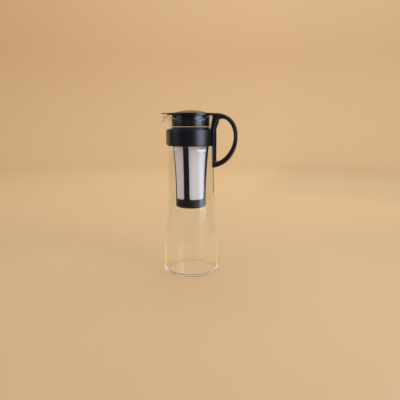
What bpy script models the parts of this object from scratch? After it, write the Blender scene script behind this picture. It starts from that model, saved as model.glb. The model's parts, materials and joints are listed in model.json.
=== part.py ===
"""Cold brew coffee maker: glass carafe with a banded handle, a hanging strainer and a lid.

The part stands on the carafe's flat base.  The origin is the middle of that base, +Z is up,
the handle is at +X and the spout at -X.  Everything is in metres.
"""

import math

import bmesh
import bpy
import numpy as np
from mathutils import Matrix, Vector

# Fits: the space left between two pieces that touch, and how far a cutter runs past a face.
CLEARANCE = 0.0003
SLIP_CLEARANCE = 0.0005
CUT_OVERRUN = 0.002

# Glass carafe: a tapering body, a shoulder, a waist for the band and a flared mouth.
BASE_RADIUS = 0.050
SHOULDER_RADIUS = 0.0428
WAIST_RADIUS = 0.0363
MOUTH_FLARE = 0.0064
HEEL_RADIUS = 0.005
GLASS_WALL = 0.002
GLASS_FLOOR = 0.003
SHOULDER_HEIGHT = 0.218
STRAIGHT_HEIGHT = 0.023
SHOULDER_RISE = 0.029
NECK_RISE = 0.0413
RIM_DIP = 0.0111
SPOUT_SWELL = 0.0025
SPOUT_DROP = 0.0033
SPOUT_REACH = 0.0103
SPOUT_DROOP = 0.0065
RIM_EDGE = 0.0006
DIP_CENTRE_ANGLE = math.radians(100.0)
DIP_HALF_ANGLE = math.radians(72.6)
SPOUT_HALF_ANGLE = math.radians(28.0)

# The flared wall runs from the waist to the mouth along one Bezier curve.  Its two inner
# control points are shares of the flare: how far out, and how far up.
FLARE_OUT_SHARES = (0.0, 0.776)
FLARE_UP_SHARES = (0.273, 0.620)
# The spout's lip goes on from there, over a crest and down: shares of its reach and droop.
LIP_OUT_SHARES = (0.126, 0.903)
LIP_UP_SHARES = (0.615, 1.077)

# Neck band, closed at the spout side by a clasp.
BAND_WALL = 0.0024
BAND_BELOW_WAIST = 0.0125
BAND_ABOVE_WAIST = 0.0168
BAND_EDGE = 0.0006
BAND_SLIT = 0.003
CLASP_STANDOFF = 0.00035
CLASP_PLATE = 0.0013
CLASP_MARGIN = 0.0015
CLASP_HOOK_OFFSET = 0.0095
CLASP_HOOK_WIDTH = 0.0010
CLASP_HOOK_DEPTH = 0.0012
CLASP_LIP = 0.0016
PIN_OFFSET = 0.0085
PIN_RADIUS = 0.0008
PIN_END_INSET = 0.0005
KNUCKLE_RADIUS = 0.0020
KNUCKLE_HEIGHT = 0.0150

# Handle: a plate on the band and the body, and a loop with a thin grip.
HANDLE_REACH = 0.0421
HANDLE_DROP = 0.0389
GRIP_ABOVE_WAIST = 0.004
GRIP_THICKNESS = 0.0042
HANDLE_TOP_THICKNESS = 0.0105
HANDLE_FOOT_THICKNESS = 0.011
SPINE_THICKNESS = 0.003
SPINE_LEAN = 0.0045
HANDLE_WIDTH = 0.0155
SPINE_WIDTH = 0.021
HANDLE_ROUNDING = 0.0018
HANDLE_ROUNDED_ANGLE = math.radians(60.0)
HANDLE_KEY_WIDTH = 0.012
HANDLE_KEY_HEIGHT = 0.012
HANDLE_KEY_DEPTH = 0.0018
# Control points of the loop's outlines, as shares of its reach and of its height above or
# below the grip.  Each row is one Bezier curve, (out, up) four times.
OUTER_UPPER_SHARES = ((0.171, 1.0), (0.546, 0.949), (1.0, 0.604), (1.0, 0.0))
OUTER_LOWER_SHARES = ((1.0, 0.0), (1.0, -0.415), (0.593, -0.848), (0.077, -1.0))
INNER_UPPER_SHARES = ((0.501, 1.0), (0.761, 0.955), (1.0, 0.485), (1.0, 0.0))
INNER_LOWER_SHARES = ((1.0, 0.0), (1.0, -0.428), (0.605, -0.901), (0.180, -1.0))

# Lid: a domed cover with a beak over the spout, and a hollow plug under it.
LID_OVERHANG = 0.0003
LID_EDGE_HEIGHT = 0.0038
LID_DOME_RADIUS = 0.032
LID_DOME_RISE = 0.0053
LID_SKIN = 0.0020
LID_ROUNDING = 0.0004
BEAK_REACH = 0.0120
BEAK_THICKNESS = 0.0017
BEAK_HALF_ANGLE = math.radians(11.0)
PLUG_INSET = 0.0037
PLUG_DEPTH = 0.0178
PLUG_WALL = 0.0020
PLUG_ROUNDING = 0.0005
SPIGOT_WALL = 0.0016
SPIGOT_DEPTH = 0.0030

# Strainer: a moulded frame with four ribs, a fine mesh sleeve and a twist-off cap.
STRAINER_BELOW_PLUG = 0.0030
COLLAR_STEP = 0.0004
COLLAR_WALL = 0.0018
BEAD_OVERHANG = 0.0013
BEAD_HEIGHT = 0.0016
THROAT_CLEARANCE = 0.0005
STRAINER_FOOT_RADIUS = 0.02775
STRAINER_DROP = 0.1137
STRAINER_STRAIGHT_START = 0.0055
STRAINER_TAPER_SHARE = 2.1
RING_HEIGHT = 0.0047
RIB_WIDTH = 0.0102
WINDOW_ROUNDING = 0.004
WINDOW_TOP_LIFT = 0.0015
MESH_THICKNESS = 0.0005
MESH_OVERLAP = 0.004
CAP_HEIGHT = 0.0110
CAP_WALL = 0.0018
CAP_ROUNDING = 0.003
CAP_LUG_DEPTH = 0.0009
CAP_LUG_HEIGHT = 0.0014
CAP_LUG_WIDTH = 0.006
CAP_LIP_HEIGHT = 0.0013
CAP_TWIST_ANGLE = math.radians(40.0)
LUG_COUNT = 3

# How finely curves are cut into flats.
TURN_STEPS = 56
FLARE_STEPS = 6
FINE_STEPS = 201
LIP_STEPS = 4
SMALL_TURN_STEPS = 16
BEAK_STEPS = 16
SHARP_ANGLE = math.radians(35.0)
# How far a small round cutter is turned, as a share of one of its flats, so that its flats
# cross those of the piece that it cuts.
PIN_HOLE_TURN_SHARE = 0.5
NOTCH_TURN_SHARE = 0.3

# The mouth and the heights that follow from the sizes above.
MOUTH_RADIUS = WAIST_RADIUS + MOUTH_FLARE
WAIST_Z = SHOULDER_HEIGHT + SHOULDER_RISE
CREST_Z = WAIST_Z + NECK_RISE
TAPER_END_Z = SHOULDER_HEIGHT - STRAIGHT_HEIGHT
BAND_BOTTOM_Z = WAIST_Z - BAND_BELOW_WAIST
BAND_TOP_Z = WAIST_Z + BAND_ABOVE_WAIST
BAND_MIDDLE_Z = (BAND_BOTTOM_Z + BAND_TOP_Z) / 2
LID_BOTTOM_Z = CREST_Z + CLEARANCE
LID_EDGE_TOP_Z = LID_BOTTOM_Z + LID_EDGE_HEIGHT
PLUG_TOP_Z = LID_BOTTOM_Z - CLEARANCE
PLUG_BOTTOM_Z = PLUG_TOP_Z - PLUG_DEPTH
COLLAR_TOP_Z = PLUG_BOTTOM_Z - STRAINER_BELOW_PLUG
GRIP_Z = WAIST_Z + GRIP_ABOVE_WAIST
HANDLE_BOTTOM_Z = BAND_BOTTOM_Z - HANDLE_DROP
RING_BOTTOM_Z = WAIST_Z - STRAINER_DROP
RING_TOP_Z = RING_BOTTOM_Z + RING_HEIGHT
STRAINER_STRAIGHT_Z = BAND_BOTTOM_Z + STRAINER_STRAIGHT_START
CAP_TOP_Z = RING_BOTTOM_Z - CLEARANCE
CAP_BOTTOM_Z = CAP_TOP_Z - CAP_HEIGHT


def clear_scene():
    """Remove whatever the file holds already."""
    for item in list(bpy.data.objects):
        bpy.data.objects.remove(item, do_unlink=True)


def make_material(name, colour, roughness, metallic=0.0, transmission=0.0):
    """One Principled surface with a plain colour."""
    material = bpy.data.materials.new(name)
    material.use_nodes = True
    shader = material.node_tree.nodes["Principled BSDF"]
    shader.inputs["Base Color"].default_value = (*colour, 1.0)
    shader.inputs["Roughness"].default_value = roughness
    shader.inputs["Metallic"].default_value = metallic
    shader.inputs["Transmission Weight"].default_value = transmission
    material.diffuse_color = (*colour, 1.0)
    return material


def add_object(name, mesh, origin=(0, 0, 0), material=None):
    """Link a mesh given in world places, with its own origin at the point given."""
    mesh.transform(Matrix.Translation(-Vector(origin)))
    mesh.shade_smooth()
    mesh.set_sharp_from_angle(angle=SHARP_ANGLE)
    item = bpy.data.objects.new(name, mesh)
    item.location = origin
    bpy.context.scene.collection.objects.link(item)
    if material is not None:
        mesh.materials.append(material)
    return item


def mesh_from(working, name):
    """Turn a working bmesh into a mesh whose faces point out."""
    bmesh.ops.recalc_face_normals(working, faces=working.faces)
    mesh = bpy.data.meshes.new(name)
    working.to_mesh(mesh)
    working.free()
    return mesh


def grid_mesh(name, rings, closed=True):
    """Skin a closed section carried round the axis.

    rings is an array (angle, point, xyz).  Each ring is one closed section.  Points on the
    axis are merged into one pole.
    """
    count, points = rings.shape[0], rings.shape[1]
    working = bmesh.new()
    table = [[working.verts.new(point) for point in ring] for ring in rings]
    steps = count if closed else count - 1
    for i in range(steps):
        here, there = table[i], table[(i + 1) % count]
        for j in range(points):
            k = (j + 1) % points
            working.faces.new((here[j], here[k], there[k], there[j]))
    if not closed:
        working.faces.new(table[0])
        working.faces.new(table[-1])
    bmesh.ops.remove_doubles(working, verts=working.verts, dist=CLEARANCE / TURN_STEPS)
    loose = [edge for edge in working.edges if not edge.link_faces]
    bmesh.ops.delete(working, geom=loose, context="EDGES")
    return mesh_from(working, name)


def turned_rings(profile, angles):
    """Carry one closed (radius, height) profile round the axis."""
    profile = np.asarray(profile, dtype=float)
    radius, height = profile[:, 0], profile[:, 1]
    cosine, sine = np.cos(angles)[:, None], np.sin(angles)[:, None]
    return np.stack((cosine * radius, sine * radius, cosine * 0 + height), axis=2)


def full_turn(steps=TURN_STEPS):
    """Even angles all the way round."""
    return np.arange(steps) * 2 * math.pi / steps


def turned(name, profile, steps=TURN_STEPS):
    """A solid of revolution about Z."""
    return grid_mesh(name, turned_rings(profile, full_turn(steps)))


def sector(name, profile, start, end, steps):
    """Part of a turn of a closed profile, with flat ends."""
    angles = np.linspace(start, end, steps + 1)
    return grid_mesh(name, turned_rings(profile, angles), closed=False)


def upright_cylinder(name, radius, bottom, top, x, y, turn_share=0.0):
    """A plain round bar along Z, away from the axis, turned by a share of one of its flats."""
    mesh = turned(name, ((0, bottom), (radius, bottom), (radius, top), (0, top)), SMALL_TURN_STEPS)
    turn = Matrix.Rotation(turn_share * 2 * math.pi / SMALL_TURN_STEPS, 4, "Z")
    mesh.transform(Matrix.Translation((x, y, 0)) @ turn)
    return mesh


def box_mesh(name, low, high, turn=0.0, rounding=0.0):
    """A box between two corners, turned about Z, with all its edges rounded if asked."""
    working = bmesh.new()
    low, high = Vector(low), Vector(high)
    bmesh.ops.create_cube(working, size=1.0)
    bmesh.ops.scale(working, vec=high - low, verts=working.verts)
    bmesh.ops.translate(working, vec=(high + low) / 2, verts=working.verts)
    if rounding > 0:
        bmesh.ops.bevel(working, geom=working.edges, offset=rounding, segments=3,
                        profile=0.5, affect="EDGES")
    bmesh.ops.rotate(working, cent=(0, 0, 0), matrix=Matrix.Rotation(turn, 3, "Z"),
                     verts=working.verts)
    return mesh_from(working, name)


def joined(name, meshes):
    """Several separate bodies in one mesh, for a cutter that cuts in several places."""
    working = bmesh.new()
    for mesh in meshes:
        working.from_mesh(mesh)
    return mesh_from(working, name)


def combine(item, mesh, operation):
    """Add or take away a hidden helper body."""
    helper = add_object(mesh.name, mesh)
    helper.hide_render = True
    helper.display_type = "WIRE"
    step = item.modifiers.new(mesh.name, "BOOLEAN")
    step.operation = operation
    step.solver = "EXACT"
    step.object = helper


def bezier(controls, shares):
    """Points of a cubic Bezier curve at the given shares of its run."""
    a, b, c, d = (np.asarray(point, dtype=float) for point in controls)
    u = np.asarray(shares)[..., None]
    v = 1 - u
    return v ** 3 * a + 3 * v ** 2 * u * b + 3 * v * u ** 2 * c + u ** 3 * d


def half_cosine(share):
    """Runs from 1 down to 0 along half a cosine wave."""
    return (1 + np.cos(math.pi * np.clip(share, 0, 1))) / 2


def body_radius(height):
    """Outer radius of the glass from the heel to the waist: two half cosine blends."""
    taper = half_cosine((height - HEEL_RADIUS) / (TAPER_END_Z - HEEL_RADIUS))
    shoulder = half_cosine((height - SHOULDER_HEIGHT) / SHOULDER_RISE)
    below = SHOULDER_RADIUS + (BASE_RADIUS - SHOULDER_RADIUS) * taper
    above = WAIST_RADIUS + (SHOULDER_RADIUS - WAIST_RADIUS) * shoulder
    return np.where(height < SHOULDER_HEIGHT, below, above)


def spout_share(angle_from_spout):
    """1 at the middle of the spout, 0 outside it."""
    return half_cosine(np.abs(angle_from_spout) / SPOUT_HALF_ANGLE)


def dip_share(angle_from_spout):
    """1 at the lowest place of the rim on each side, 0 at the spout and at the handle."""
    return half_cosine(np.abs(np.abs(angle_from_spout) - DIP_CENTRE_ANGLE) / DIP_HALF_ANGLE)


def flare_controls(spout):
    """The flared wall's middle line, from the waist to the mouth."""
    middle = GLASS_WALL / 2
    start = np.array((WAIST_RADIUS - middle, WAIST_Z))
    out = MOUTH_FLARE + spout * SPOUT_SWELL
    up = NECK_RISE - middle - RIM_EDGE - spout * SPOUT_DROP
    lower = start + (FLARE_OUT_SHARES[0] * out, FLARE_UP_SHARES[0] * up)
    upper = start + (FLARE_OUT_SHARES[1] * out, FLARE_UP_SHARES[1] * up)
    return start, lower, upper, start + (out, up)


def lip_controls(end, along, spout):
    """The wall's last stretch: a short straight edge, or at the spout a curl out and down."""
    curl_shares = zip((0, *LIP_OUT_SHARES, 1), (0, *LIP_UP_SHARES, -1))
    controls = []
    for k, (out, up) in enumerate(curl_shares):
        plain = end + along * RIM_EDGE * k / 3
        curled = end + (out * SPOUT_REACH, up * SPOUT_DROOP)
        controls.append(plain + (curled - plain) * spout)
    return controls


def flare_line(angle_from_spout):
    """Middle line of the wall above the waist, for one direction round the mouth."""
    spout = float(spout_share(angle_from_spout))
    controls = flare_controls(spout)
    fine = np.linspace(0, 1, FINE_STEPS)
    rim_height = controls[3][1] - RIM_DIP * float(dip_share(angle_from_spout))
    end_share = np.interp(rim_height, bezier(controls, fine)[:, 1], fine)
    wall = bezier(controls, np.linspace(0, end_share, FLARE_STEPS + 1))
    along = (wall[-1] - wall[-2]) / np.linalg.norm(wall[-1] - wall[-2])
    lip = bezier(lip_controls(wall[-1], along, spout), np.linspace(0, 1, LIP_STEPS + 1))
    return np.vstack((wall, lip[1:]))


def both_sides(line, thickness):
    """Outer and inner edges of a wall with this middle line, and its rounded end."""
    slope = np.gradient(line, axis=0)
    slope[0] = (0, 1)
    slope /= np.linalg.norm(slope, axis=1)[:, None]
    outward = np.stack((slope[:, 1], -slope[:, 0]), axis=1)
    half = thickness / 2
    outer = line + outward * half
    inner = line - outward * half
    turns = np.array((math.pi / 4, math.pi / 2, 3 * math.pi / 4))[:, None]
    end = line[-1] + half * (np.cos(turns) * outward[-1] + np.sin(turns) * slope[-1])
    return outer, inner, end


def arc(centre, radius, start, end, steps):
    """Points along an arc in the (radius, height) plane."""
    angles = np.linspace(start, end, steps + 1)
    return np.array(centre) + radius * np.stack((np.cos(angles), np.sin(angles)), axis=1)


def wall_below_waist():
    """Outer and inner (radius, height) points from the axis up to just under the waist."""
    taper = np.linspace(HEEL_RADIUS, TAPER_END_Z, 7)
    shoulder = SHOULDER_HEIGHT + np.linspace(0, SHOULDER_RISE, 6)[:-1]
    heights = np.concatenate((taper, shoulder))[1:]
    heel = arc((BASE_RADIUS - HEEL_RADIUS, HEEL_RADIUS), HEEL_RADIUS, -math.pi / 2, 0, 3)
    outer = np.vstack(((0, 0), heel, np.stack((body_radius(heights), heights), axis=1)))
    inner_corner = (BASE_RADIUS - GLASS_WALL - HEEL_RADIUS, GLASS_FLOOR + HEEL_RADIUS)
    inner_heel = arc(inner_corner, HEEL_RADIUS, -math.pi / 2, 0, 2)
    inner_walls = np.stack((body_radius(heights) - GLASS_WALL, heights), axis=1)
    inner = np.vstack(((0, GLASS_FLOOR), inner_heel, inner_walls))
    return outer, inner


def section_sides(angle_from_spout):
    """Outer and inner (radius, height) points of the glass, from the foot to the mouth."""
    outer, inner = wall_below_waist()
    line = flare_line(angle_from_spout)
    neck_outer, neck_inner, end = both_sides(line, GLASS_WALL)
    return np.vstack((outer, neck_outer)), np.vstack((inner, neck_inner)), end


def neck_outer_radius(height, angle_from_spout=math.pi):
    """Outer radius of the glass at any height up to the mouth, beside the handle or elsewhere."""
    outer, _, _ = section_sides(angle_from_spout)
    return np.interp(height, outer[1:, 1], outer[1:, 0])


def carafe_rings():
    """All closed sections of the glass, turned to their directions round the axis."""
    rings = []
    for angle in full_turn() - math.pi:
        outer, inner, end = section_sides(angle)
        section = np.vstack((outer, end, inner[::-1]))
        rings.append(turned_rings(section, np.array((angle + math.pi,)))[0])
    return np.array(rings)


def band_grip():
    """Inner (radius, height) points of the band: the neck's own shape, a clearance away."""
    heights = np.linspace(BAND_BOTTOM_Z, BAND_TOP_Z, 8)
    neck = np.maximum(neck_outer_radius(heights), neck_outer_radius(heights, 0.0))
    return np.stack((neck + CLEARANCE, heights), axis=1)


def neck_inner_radius(height):
    """Inner radius of the plain neck at any height above the waist."""
    _, inner, _ = section_sides(math.pi)
    return float(np.interp(height, inner[1:, 1], inner[1:, 0]))


def seat_height(radius):
    """Height in the flare where there is just room for a round piece of this radius."""
    _, inner, _ = section_sides(math.pi)
    flare = inner[inner[:, 1] >= WAIST_Z]
    return float(np.interp(radius + CLEARANCE, flare[:, 0], flare[:, 1]))


# Radii that follow from the neck of the glass.
WIDEST_GRIP = float(band_grip()[:, 0].max())
BAND_RADIUS = WIDEST_GRIP + BAND_WALL
HANDLE_SEAT = max(BAND_RADIUS, SHOULDER_RADIUS) + SLIP_CLEARANCE
LID_RADIUS = MOUTH_RADIUS + LID_OVERHANG
PLUG_RADIUS = neck_inner_radius(PLUG_BOTTOM_Z) - PLUG_INSET
THROAT_RADIUS = WAIST_RADIUS - GLASS_WALL - THROAT_CLEARANCE
COLLAR_RADIUS = THROAT_RADIUS + COLLAR_STEP
BEAD_RADIUS = WAIST_RADIUS - GLASS_WALL + BEAD_OVERHANG
BEAD_BOTTOM_Z = seat_height(BEAD_RADIUS)
FRAME_BORE = STRAINER_FOOT_RADIUS - COLLAR_WALL
LIP_TOP_Z = RING_BOTTOM_Z + CAP_LIP_HEIGHT
GROOVE_TOP_Z = LIP_TOP_Z + CAP_LUG_HEIGHT + 2 * CLEARANCE
PIN_CIRCLE = WIDEST_GRIP + KNUCKLE_RADIUS
PIN_X = -math.sqrt(PIN_CIRCLE ** 2 - PIN_OFFSET ** 2)


def make_carafe():
    """The glass body, blown in one piece with its spout."""
    glass = make_material("clear_glass", (0.86, 0.92, 0.90), 0.03, transmission=1.0)
    add_object("glass_carafe", grid_mesh("glass_carafe", carafe_rings()), material=glass)


def black_plastic(name, roughness=0.32):
    """Black moulded polypropylene with a faint blue cast."""
    return make_material(name, (0.013, 0.014, 0.020), roughness)


def make_band():
    """The split band that grips the waist of the glass, with knuckles for the clasp's pin."""
    grip = band_grip()
    edge = ((BAND_RADIUS - BAND_EDGE, BAND_TOP_Z), (BAND_RADIUS, BAND_TOP_Z - BAND_EDGE),
            (BAND_RADIUS, BAND_BOTTOM_Z + BAND_EDGE), (BAND_RADIUS - BAND_EDGE, BAND_BOTTOM_Z))
    profile = np.vstack((grip, edge))
    half_slit = BAND_SLIT / 2 / BAND_RADIUS
    mesh = sector("neck_band", profile, -math.pi + half_slit, math.pi - half_slit, TURN_STEPS)
    band = add_object("neck_band", mesh, material=black_plastic("band_plastic"))
    boss = upright_cylinder("band_knuckles", KNUCKLE_RADIUS, BAND_BOTTOM_Z + BAND_EDGE,
                            BAND_TOP_Z - BAND_EDGE, PIN_X, PIN_OFFSET)
    combine(band, boss, "UNION")
    hole = upright_cylinder("band_pin_hole", PIN_RADIUS + CLEARANCE, BAND_BOTTOM_Z - CUT_OVERRUN,
                            BAND_TOP_Z + CUT_OVERRUN, PIN_X, PIN_OFFSET, PIN_HOLE_TURN_SHARE)
    combine(band, hole, "DIFFERENCE")
    half_notch = KNUCKLE_HEIGHT / 2 + CLEARANCE
    notch = upright_cylinder("knuckle_notch", KNUCKLE_RADIUS + CLEARANCE,
                             BAND_MIDDLE_Z - half_notch, BAND_MIDDLE_Z + half_notch,
                             PIN_X, PIN_OFFSET, NOTCH_TURN_SHARE)
    combine(band, notch, "DIFFERENCE")
    combine(band, hook_body("hook_groove", CLEARANCE, BAND_TOP_Z - BAND_BOTTOM_Z), "DIFFERENCE")
    combine(band, key_body("key_pocket", CLEARANCE), "DIFFERENCE")


def hook_body(name, margin, height):
    """The clasp's hook, or with a margin the groove in the band that it catches in."""
    middle = math.pi + math.asin(CLASP_HOOK_OFFSET / BAND_RADIUS)
    low = (BAND_RADIUS - CLASP_HOOK_DEPTH - margin, -CLASP_HOOK_WIDTH / 2 - margin,
           BAND_MIDDLE_Z - height / 2 - margin)
    high = (BAND_RADIUS + CLASP_STANDOFF + CLASP_PLATE / 2, CLASP_HOOK_WIDTH / 2 + margin,
            BAND_MIDDLE_Z + height / 2 + margin)
    return box_mesh(name, low, high, turn=middle)


def key_body(name, margin):
    """The key on the back of the handle, or with a margin its pocket in the band."""
    half_width = HANDLE_KEY_WIDTH / 2 + margin
    half_height = HANDLE_KEY_HEIGHT / 2 + margin
    low = (BAND_RADIUS - HANDLE_KEY_DEPTH - margin, -half_width, BAND_MIDDLE_Z - half_height)
    high = (HANDLE_SEAT + SPINE_THICKNESS / 2, half_width, BAND_MIDDLE_Z + half_height)
    return box_mesh(name, low, high)


def make_clasp():
    """The curved plate that flips on its pin and holds the two ends of the band together."""
    inner = BAND_RADIUS + CLASP_STANDOFF
    outer = inner + CLASP_PLATE
    bottom = BAND_BOTTOM_Z + CLASP_MARGIN
    top = BAND_TOP_Z - CLASP_MARGIN
    plate_profile = ((inner, bottom), (inner, top), (outer, top), (outer, bottom))
    free_side = math.pi - math.asin((PIN_OFFSET - KNUCKLE_RADIUS - SLIP_CLEARANCE) / outer)
    hook_side = math.pi + math.asin((CLASP_HOOK_OFFSET + CLASP_LIP) / outer)
    origin = (PIN_X, PIN_OFFSET, BAND_MIDDLE_Z)
    mesh = sector("band_clasp", plate_profile, free_side, hook_side, 10)
    clasp = add_object("band_clasp", mesh, origin, black_plastic("clasp_plastic"))
    half = KNUCKLE_HEIGHT / 2
    low, high = BAND_MIDDLE_Z - half, BAND_MIDDLE_Z + half
    arm_outer = outer - CLASP_STANDOFF
    arm_profile = ((inner, low), (inner, high), (arm_outer, high), (arm_outer, low))
    pin_side = math.pi - math.asin(PIN_OFFSET / PIN_CIRCLE)
    past_edge = free_side + CLASP_PLATE / outer
    combine(clasp, sector("clasp_arm", arm_profile, pin_side, past_edge, 3), "UNION")
    knuckle = upright_cylinder("clasp_knuckle", KNUCKLE_RADIUS, low, high, PIN_X, PIN_OFFSET)
    combine(clasp, knuckle, "UNION")
    combine(clasp, hook_body("clasp_hook", 0, KNUCKLE_HEIGHT), "UNION")
    hole = upright_cylinder("clasp_pin_hole", PIN_RADIUS + CLEARANCE, low - CUT_OVERRUN,
                            high + CUT_OVERRUN, PIN_X, PIN_OFFSET)
    combine(clasp, hole, "DIFFERENCE")


def make_pin():
    """The straight pin through the knuckles of the band and the clasp."""
    steel = make_material("pin_steel", (0.55, 0.55, 0.57), 0.30, metallic=1.0)
    mesh = upright_cylinder("clasp_pin", PIN_RADIUS, BAND_BOTTOM_Z + PIN_END_INSET,
                            BAND_TOP_Z - PIN_END_INSET, PIN_X, PIN_OFFSET)
    add_object("clasp_pin", mesh, (PIN_X, PIN_OFFSET, BAND_MIDDLE_Z), steel)


def loop_curve(shares, reach, above, below, steps):
    """One quarter of the loop's outline, from its control points in shares."""
    controls = []
    for out, up in shares:
        rise = above if up > 0 else below
        controls.append((HANDLE_SEAT + out * reach, GRIP_Z + up * rise))
    return bezier(controls, np.linspace(0, 1, steps + 1))


def level_row(start, end, height, count):
    """Points on a level line, without its two ends."""
    across = np.linspace(start, end, count + 2)[1:-1]
    return np.stack((across, np.full(count, height)), axis=1)


def outer_outline():
    """The loop's outer outline in the XZ plane; its inner side is cut to fit the neck later."""
    above = LID_EDGE_TOP_Z - GRIP_Z
    below = GRIP_Z - HANDLE_BOTTOM_Z
    upper = loop_curve(OUTER_UPPER_SHARES, HANDLE_REACH, above, below, 9)
    lower = loop_curve(OUTER_LOWER_SHARES, HANDLE_REACH, above, below, 10)
    heights = np.linspace(HANDLE_BOTTOM_Z, LID_EDGE_TOP_Z, 7)
    back = np.stack((np.full(7, WAIST_RADIUS), heights), axis=1)
    top = level_row(WAIST_RADIUS, upper[0][0], LID_EDGE_TOP_Z, 3)
    foot = level_row(lower[-1][0], WAIST_RADIUS, HANDLE_BOTTOM_Z, 3)
    return np.vstack((back, top, upper, lower[1:], foot))


def inner_outline():
    """The finger gap's outline, point for point beside the outer one."""
    top = LID_EDGE_TOP_Z - HANDLE_TOP_THICKNESS
    foot = HANDLE_BOTTOM_Z + HANDLE_FOOT_THICKNESS
    reach = HANDLE_REACH - GRIP_THICKNESS
    upper = loop_curve(INNER_UPPER_SHARES, reach, top - GRIP_Z, GRIP_Z - foot, 9)
    lower = loop_curve(INNER_LOWER_SHARES, reach, top - GRIP_Z, GRIP_Z - foot, 10)
    spine = HANDLE_SEAT + SPINE_THICKNESS
    corner = SPINE_THICKNESS
    heights = np.linspace(foot + corner, top - corner, 7)
    lean = np.clip((heights - BAND_TOP_Z) / (top - corner - BAND_TOP_Z), 0, 1)
    plate = np.stack((spine + SPINE_LEAN * lean, heights), axis=1)
    top_centre = (spine + SPINE_LEAN + corner, top - corner)
    top_corner = arc(top_centre, corner, math.pi, math.pi / 2, 3)
    foot_corner = arc((spine + corner, foot + corner), corner, -math.pi / 2, -math.pi, 3)
    return np.vstack((plate, top_corner[1:], upper, lower[1:], foot_corner[:-1]))


def half_width_at(x):
    """The plate beside the band is wider than the grip; they blend just outside it."""
    share = half_cosine((x - HANDLE_SEAT - SPINE_THICKNESS) / (HANDLE_REACH - GRIP_THICKNESS))
    return (HANDLE_WIDTH + (SPINE_WIDTH - HANDLE_WIDTH) * share ** 3) / 2


def handle_mesh():
    """The loop as a flat ring with matching points on its four edge lines."""
    working = bmesh.new()
    rows = []
    for outline in (outer_outline(), inner_outline()):
        for side in (-1, 1):
            width = side * half_width_at(outline[:, 0])
            points = np.stack((outline[:, 0], width, outline[:, 1]), axis=1)
            rows.append([working.verts.new(point) for point in points])
    order = (rows[0], rows[1], rows[3], rows[2])
    count = len(rows[0])
    for i in range(count):
        k = (i + 1) % count
        for j in range(4):
            here, there = order[j], order[(j + 1) % 4]
            working.faces.new((here[i], there[i], there[k], here[k]))
    return mesh_from(working, "handle")


def neck_clearance_body():
    """Everything that the back of the handle has to clear: body, band, neck and lid."""
    bottom = HANDLE_BOTTOM_Z - CUT_OVERRUN
    top = LID_EDGE_TOP_Z + CUT_OVERRUN
    hook = BAND_TOP_Z + CLEARANCE
    low_heights = np.linspace(bottom, BAND_BOTTOM_Z, 6)
    low_radius = np.maximum(neck_outer_radius(low_heights) + SLIP_CLEARANCE, HANDLE_SEAT)
    heights = np.linspace(hook, CREST_Z, 8)
    neck = np.stack((neck_outer_radius(heights) + SLIP_CLEARANCE, heights), axis=1)
    lid = max(LID_RADIUS + SLIP_CLEARANCE, neck[-1][0])
    body = np.stack((low_radius, low_heights), axis=1)
    profile = np.vstack(((0, bottom), body, (HANDLE_SEAT, hook), neck,
                         (lid, LID_BOTTOM_Z), (lid, top), (0, top)))
    return turned("handle_clearance", profile)


def make_handle():
    """The loop handle: its back plate lies on the band and the body and hooks over the band."""
    handle = add_object("handle", handle_mesh(), material=black_plastic("handle_plastic"))
    rounding = handle.modifiers.new("rounding", "BEVEL")
    rounding.width = HANDLE_ROUNDING
    rounding.segments = 2
    rounding.limit_method = "ANGLE"
    rounding.angle_limit = HANDLE_ROUNDED_ANGLE
    combine(handle, neck_clearance_body(), "DIFFERENCE")
    combine(handle, key_body("handle_key", 0), "UNION")


def beak_angles():
    """Directions round the lid measured from the beak, closer together near it."""
    side = 2 * BEAK_HALF_ANGLE
    near = np.linspace(-side, side, BEAK_STEPS + 1)
    rest = np.linspace(side, 2 * math.pi - side, TURN_STEPS - BEAK_STEPS // 2)
    return np.concatenate((near, rest[1:-1]))


def lid_section(from_beak):
    """The lid cover's section in one direction; only its upper edge reaches out as a beak."""
    reach = BEAK_REACH * math.exp(-(from_beak / BEAK_HALF_ANGLE) ** 4)
    edge = LID_RADIUS + reach
    spigot = PLUG_RADIUS - PLUG_WALL - CLEARANCE
    spigot_inner = spigot - SPIGOT_WALL
    dome_share = np.linspace(1, 0, 6)
    dome = np.stack((LID_DOME_RADIUS * dome_share,
                     LID_EDGE_TOP_Z + LID_DOME_RISE * (1 - dome_share ** 2)), axis=1)
    under_share = np.linspace(0, spigot_inner / LID_DOME_RADIUS, 5)
    under = np.stack((LID_DOME_RADIUS * under_share, LID_EDGE_TOP_Z - LID_SKIN
                      + LID_DOME_RISE * (1 - under_share ** 2)), axis=1)
    beak_bottom = LID_EDGE_TOP_Z - BEAK_THICKNESS
    rim = ((spigot_inner, LID_BOTTOM_Z - SPIGOT_DEPTH), (spigot, LID_BOTTOM_Z - SPIGOT_DEPTH),
           (spigot, LID_BOTTOM_Z), (LID_RADIUS - LID_ROUNDING, LID_BOTTOM_Z),
           (LID_RADIUS, LID_BOTTOM_Z + LID_ROUNDING), (LID_RADIUS, beak_bottom),
           (edge, beak_bottom + LID_ROUNDING), (edge, LID_EDGE_TOP_Z - LID_ROUNDING),
           (edge - LID_ROUNDING, LID_EDGE_TOP_Z))
    return np.vstack((under, rim, dome))


def make_lid():
    """The domed cover of the lid, in one moulding with its beak and the ring under it."""
    rings = []
    for angle in beak_angles():
        section = lid_section((angle + math.pi) % (2 * math.pi) - math.pi)
        rings.append(turned_rings(section, np.array((angle + math.pi,)))[0])
    mesh = grid_mesh("lid_cover", np.array(rings))
    add_object("lid_cover", mesh, (0, 0, LID_BOTTOM_Z), black_plastic("lid_plastic", 0.26))


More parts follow.
